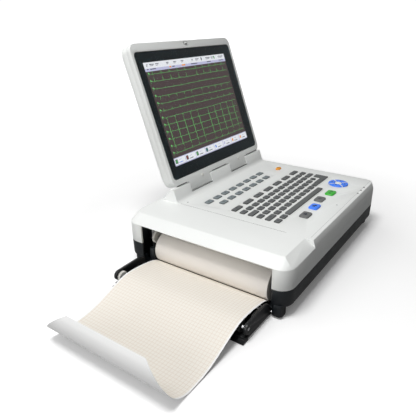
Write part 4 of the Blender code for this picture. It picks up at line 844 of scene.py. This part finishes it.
def close_edges(bm, top, under):
    """Joins the two sides of the sheet round its four edges."""
    last = len(top) - 1
    edges = [[(r, 0) for r in range(last + 1)], [(r, SHEET_ACROSS) for r in range(last + 1)],
             [(0, c) for c in range(SHEET_ACROSS + 1)], [(last, c) for c in range(SHEET_ACROSS + 1)]]
    for edge in edges:
        for (r, c), (s, d) in zip(edge, edge[1:]):
            bm.faces.new((top[r][c], top[s][d], under[s][d], under[r][c])).material_index = 1


def make_paper():
    line = sheet_line()
    lengths = run_lengths(line)
    total = lengths[-1]
    spans = [sheet_span(length, total) for length in lengths]
    spots = [[(front + (back - front) * column, length) for column in sheet_columns()]
             for (front, back), length in zip(spans, lengths)]
    bm = bmesh.new()
    layer = bm.loops.layers.uv.new("sheet_metres")
    printed, plain = sheet_points(bm, line, spots)
    cover_side(bm, layer, printed, spots, 0)
    cover_side(bm, layer, plain, spots, 1)
    close_edges(bm, printed, plain)
    sheet = new_piece("chart_paper", bm, "base", [PAPER, PLAIN_PAPER], angle=60)
    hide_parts("paper_sheet")
    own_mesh(sheet)


# ---------------------------------------------------------------- case details
def rear_point(x, z, level):
    return case_point(x, CASE_DEPTH + level, z)


def end_point(y, z, level):
    return case_point(CASE_WIDTH + level, y, z)


def under_point(x, y, level):
    return case_point(x, y, UNDERSIDE - level)


def hinge_point(x, up, level):
    """A point level millimetres ahead of the hinge axis, in the lid's own plane."""
    return lid_point(x, -level, up)


def lid_back_point(x, up, level):
    return lid_point(x, LID_BACK + level, up)


def divider_outline(angle):
    """A thin web between two arrow keys, from the ring's inner edge to its outer edge."""
    along = Vector((math.cos(math.radians(angle)), math.sin(math.radians(angle))))
    side = Vector((-along.y, along.x)) * 0.75
    near, far = ARROW_WEB
    return [tuple(Vector(ARROW_CENTRE) + along * reach + side * sign)
            for reach, sign in ((near, -1), (far, -1), (far, 1), (near, 1))]


def screw_head(bm, x, y, to_frame, radius):
    """A countersunk head with a rounded rim and a cross recess left as four raised quarters."""
    rings = [[to_frame(*p, level) for p in disc_outline(x, y, radius * share, 24)]
             for share, level in ((1.0, -0.4), (1.0, 0.05), (0.9, 0.22))]
    join_rings(bm, rings)
    for sx, sy in ((-1, -1), (1, -1), (1, 1), (-1, 1)):
        quarter = [(x + sx * across * radius, y + sy * along * radius)
                   for across, along in ((0.18, 0.18), (0.72, 0.18), (0.50, 0.50), (0.18, 0.72))]
        flat_shape(bm, quarter, to_frame, 0.2, 0.14)


def add_screws(name, body, heads):
    """Steel screw heads; each head is (x, y, frame function, radius)."""
    bm = bmesh.new()
    for head in heads:
        screw_head(bm, *head)
    new_piece(name, bm, body, STEEL, angle=40)


def make_deck_details():
    """Painted shade in the seams, gaps, dimples and latch slot of the deck, the hinge and the lid, and the
    webs between the arrow keys.
    """
    # Painted shade: a dark strip where the bay cover's seam is
    seam = box_outline(86.4, 152, 0.5, 208)
    marks("bay_cover_seam_painted_shade", "base", SHADOW_GAP, [(seam, case_point, DECK - 0.05, 0.08)])
    # Painted shade: a grey line for the groove along the deck's front edge
    edge = box_outline(240, 10.5, 296, 0.5)
    marks("deck_edge_groove_shade", "base", GROOVE_SHADE_GREY, [(edge, case_point, DECK - 0.05, 0.08)])
    # Painted shade: dark strips in the gaps beside the hinge tabs and under the lid's foot
    gaps = [(box_outline((x0 + x1) / 2, -7.2, x1 - x0 + 1.0, 1.4), hinge_point, HUMP_FACE - 0.04, 0.1)
            for x0, x1 in ((129.5, 194.1), (262.4, 323.4))]
    marks("tab_gap_painted_shade", "base", SHADOW_GAP, gaps)
    foot_lines = [(box_outline(x, LID_FOOT + 1.0, length, 1.1), hinge_point, -LID_FACE, 0.1)
                  for x, length in ((110, 28), (228, 50), (354, 44))]
    marks("lid_foot_gap_painted_shade", "lid", SHADOW_GAP, foot_lines)
    # Painted shade: a black tile inside the latch slot behind the hook
    latch_slot = box_outline(239, LID_FOOT + 246.5, 13.6, 4.6)
    marks("latch_slot_painted_shade", "lid", BLACK, [(latch_slot, hinge_point, 0.4, 0.1)])
    webs = [(divider_outline(angle), case_point, DECK - 1.0, 3.2) for angle in (45, 135, 225, 315)]
    marks("arrow_pad_dividers", "base", WHITE, webs)
    # Painted shade: dark discs in the deck's dimples
    dimples = [(disc_outline(x, y, radius, 14), case_point, DECK - 0.05, 0.1)
               for x, y, radius in ((98.0, 246.6, 1.3), (230.6, 22.3, 1.2))]
    marks("deck_dimple_painted_shade", "base", SHADOW_GAP, dimples)


def make_outer_details():
    """Painted shade for vent slots and speaker holes, screws, a plain label plate and a painted-shade
    groove, on the rear, the right end, the underside and the lid.
    """
    # Painted shade: dark slots on the flat rear wall stand in for the shade inside vent openings
    slots = [(rounded_outline(x - 1.5, x + 1.5, 54, 71, 1.4, 3), rear_point, -0.05, 0.12)
             for x in range(120, 245, 6)]
    marks("rear_vent_shade", "base", SHADOW_GAP, slots)
    # Painted shade: dark dots on the flat end wall stand in for the shade inside the speaker holes
    grille = [(disc_outline(62 + 5 * i, 57 + 5 * k, 1.2, 10), end_point, -0.05, 0.12)
              for i in range(8) for k in range(4) if (i - 3.5) ** 2 / 14 + (k - 1.5) ** 2 / 3.2 < 1.1]
    marks("speaker_grille_shade", "base", SHADOW_GAP, grille)
    plate = rounded_outline(150, 232, 96, 148, 3, 4)
    marks("rating_plate", "base", PLATE, [(plate, under_point, -0.05, 0.25)])
    lines = [(box_outline(168 + length / 2, 140 - 7 * i, length, 1.4), under_point, 0.2, 0.06)
             for i, length in enumerate((34, 26, 46, 40, 22))]
    marks("rating_plate_lines", "base", INK, lines)
    heads = [(x, y, under_point, 3.4) for x, y in ((86, 44), (86, 258), (232, 30), (232, 272), (330, 150))]
    heads += [(x, 62, rear_point, 2.6) for x in (112, 368)]
    add_screws("case_screws", "base", heads)
    heads = [(x, LID_FOOT + up, lid_back_point, 2.6) for up in (30, 226) for x in (112, 364)]
    add_screws("lid_screws", "lid", heads)
    # Painted shade: a grey outline where the lid's back has a groove
    outer = rounded_outline(124, 352, LID_FOOT + 44, LID_FOOT + 212, 10, 6)
    inner = rounded_outline(124.8, 351.2, LID_FOOT + 44.8, LID_FOOT + 211.2, 9.2, 6)
    groove = [(quad, lid_back_point, -0.04, 0.1)
              for quad in zip(outer, outer[1:] + outer[:1], inner[1:] + inner[:1], inner)]
    marks("lid_back_groove_shade", "lid", GROOVE_SHADE_GREY, groove)


# ---------------------------------------------------------------- studio
FLOOR_GLOW = 0.10  # light the floor adds near the machine, where its shadow lies
FLOOR_BOUNCE = 0.30  # share of light the floor sends back up
FLOOR_TONE = 0.95
FLOOR_REACH = 14  # metres from the middle to each side
SKY_LEVEL, BACKDROP_LEVEL = 0.86, 1.05


def make_floor():
    """A pale floor that shows the machine's shadow but throws little light back up at it."""
    bm = bmesh.new()
    bm.faces.new([bm.verts.new((sx * FLOOR_REACH, sy * FLOOR_REACH, -0.0004))
                  for sx, sy in ((-1, -1), (1, -1), (1, 1), (-1, 1))])
    mesh = bpy.data.meshes.new("studio_floor")
    bm.to_mesh(mesh)
    bm.free()
    floor = bpy.data.objects.new("studio_floor", mesh)
    bpy.context.scene.collection.objects.link(floor)
    material, tree, shader = blank_material("studio_floor_white")
    shader.inputs["Roughness"].default_value = 0.9
    shader.inputs["Specular IOR Level"].default_value = 0.0
    shader.inputs["Emission Color"].default_value = (1, 1, 1, 1)
    seen = tree.nodes.new("ShaderNodeLightPath").outputs["Is Camera Ray"]
    shade = tree.nodes.new("ShaderNodeMix")
    shade.data_type = "RGBA"
    shade.inputs["A"].default_value = (*[FLOOR_BOUNCE] * 3, 1)
    shade.inputs["B"].default_value = (*[FLOOR_TONE] * 3, 1)
    link(tree, seen, shade.inputs["Factor"])
    link(tree, shade.outputs["Result"], shader.inputs["Base Color"])
    # Painted glow, seen only by the camera: the floor's emission is weak within 0.35 m of its middle, so it
    # is painted darker round the machine, and rises to full white 1.5 m away
    apart = tree.nodes.new("ShaderNodeVectorMath")
    apart.operation = "LENGTH"
    link(tree, tree.nodes.new("ShaderNodeTexCoord").outputs["Object"], apart.inputs[0])
    rise = tree.nodes.new("ShaderNodeMapRange")
    for name, value in (("From Min", 0.35), ("From Max", 1.5), ("To Min", FLOOR_GLOW), ("To Max", 1.0)):
        rise.inputs[name].default_value = value
    link(tree, apart.outputs["Value"], rise.inputs["Value"])
    glow = math_node(tree, "MULTIPLY", seen, rise.outputs["Result"])
    link(tree, glow, shader.inputs["Emission Strength"])
    mesh.materials.append(material)


def add_softbox(name, place, aim, size, power):
    light = bpy.data.lights.new(name, "AREA")
    light.shape = "DISK"
    light.size = size
    light.energy = power
    lamp = bpy.data.objects.new(name, light)
    bpy.context.scene.collection.objects.link(lamp)
    lamp.location = place
    lamp.rotation_euler = (aim - place).to_track_quat("-Z", "Y").to_euler()


def ramp(tree, value, points):
    """Smooth brightness through (position, brightness) points."""
    node = tree.nodes.new("ShaderNodeValToRGB")
    node.color_ramp.interpolation = "EASE"
    while len(node.color_ramp.elements) < len(points):
        node.color_ramp.elements.new(0.5)
    for element, (position, level) in zip(node.color_ramp.elements, points):
        element.position = position
        element.color = (level, level, level, 1)
    link(tree, value, node.inputs[0])
    return node.outputs["Color"]


def light_studio():
    """Overhead light, brighter from the paper side and the rear, dim from the operator's side."""
    centre = case_point(180, 150, 60)
    add_softbox("key_softbox", case_point(-330, 110, 1350), centre, 0.50, 12)
    add_softbox("side_softbox", case_point(-1200, 260, 420), centre, 0.9, 4.5)
    world = bpy.data.worlds.new("studio_surround")
    bpy.context.scene.world = world
    world.use_nodes = True
    tree = world.node_tree
    split = tree.nodes.new("ShaderNodeSeparateXYZ")
    link(tree, tree.nodes.new("ShaderNodeTexCoord").outputs["Generated"], split.inputs[0])
    sides = []
    for axis, points in (("X", ((0.0, 1.0), (0.45, 0.80), (1.0, 0.60))),
                         ("Y", ((0.0, 0.10), (0.35, 0.35), (0.65, 0.9), (1.0, 1.0))),
                         ("Z", ((0.40, 0.72), (0.75, 0.9), (1.0, 1.0)))):
        turned = math_node(tree, "MULTIPLY_ADD", split.outputs[axis], 0.5)
        turned.node.inputs[2].default_value = 0.5
        sides.append(ramp(tree, turned, points))
    glow = math_node(tree, "MULTIPLY", math_node(tree, "MULTIPLY", sides[0], sides[1]), sides[2])
    seen = tree.nodes.new("ShaderNodeLightPath").outputs["Is Camera Ray"]
    shown = tree.nodes.new("ShaderNodeMix")
    shown.inputs["B"].default_value = BACKDROP_LEVEL
    link(tree, seen, shown.inputs["Factor"])
    link(tree, math_node(tree, "MULTIPLY", glow, SKY_LEVEL), shown.inputs["A"])
    background = tree.nodes["Background"]
    background.inputs["Color"].default_value = (1, 1, 1, 1)
    link(tree, shown.outputs["Result"], background.inputs["Strength"])


def set_camera():
    data = bpy.data.cameras.new("catalogue_camera")
    data.sensor_width = 36
    data.lens = 37.79
    data.shift_x = -0.0411
    data.shift_y = -0.0096
    data.clip_end = 60
    camera = bpy.data.objects.new("catalogue_camera", data)
    bpy.context.scene.collection.objects.link(camera)
    yaw, pitch = math.radians(33.68), math.radians(23.08)
    ahead = Vector((math.cos(pitch) * math.cos(yaw), math.cos(pitch) * math.sin(yaw), -math.sin(pitch)))
    right = ahead.cross(Vector((0, 0, 1))).normalized()
    up = right.cross(ahead)
    turn = Matrix((right, up, -ahead)).transposed().to_4x4()
    camera.matrix_world = (Matrix.Translation(case_point(-458.1, -203.1, 390.9)) @ turn
                           @ Matrix.Rotation(math.radians(-0.16), 4, "Z"))
    bpy.context.scene.camera = camera


dress_carried_parts()
make_keys()
make_signs()
make_panel_case()
make_picture()
make_glass_border()
make_paper()
make_deck_details()
make_outer_details()
make_floor()
light_studio()
set_camera()
bpy.context.scene.view_settings.view_transform = "Standard"
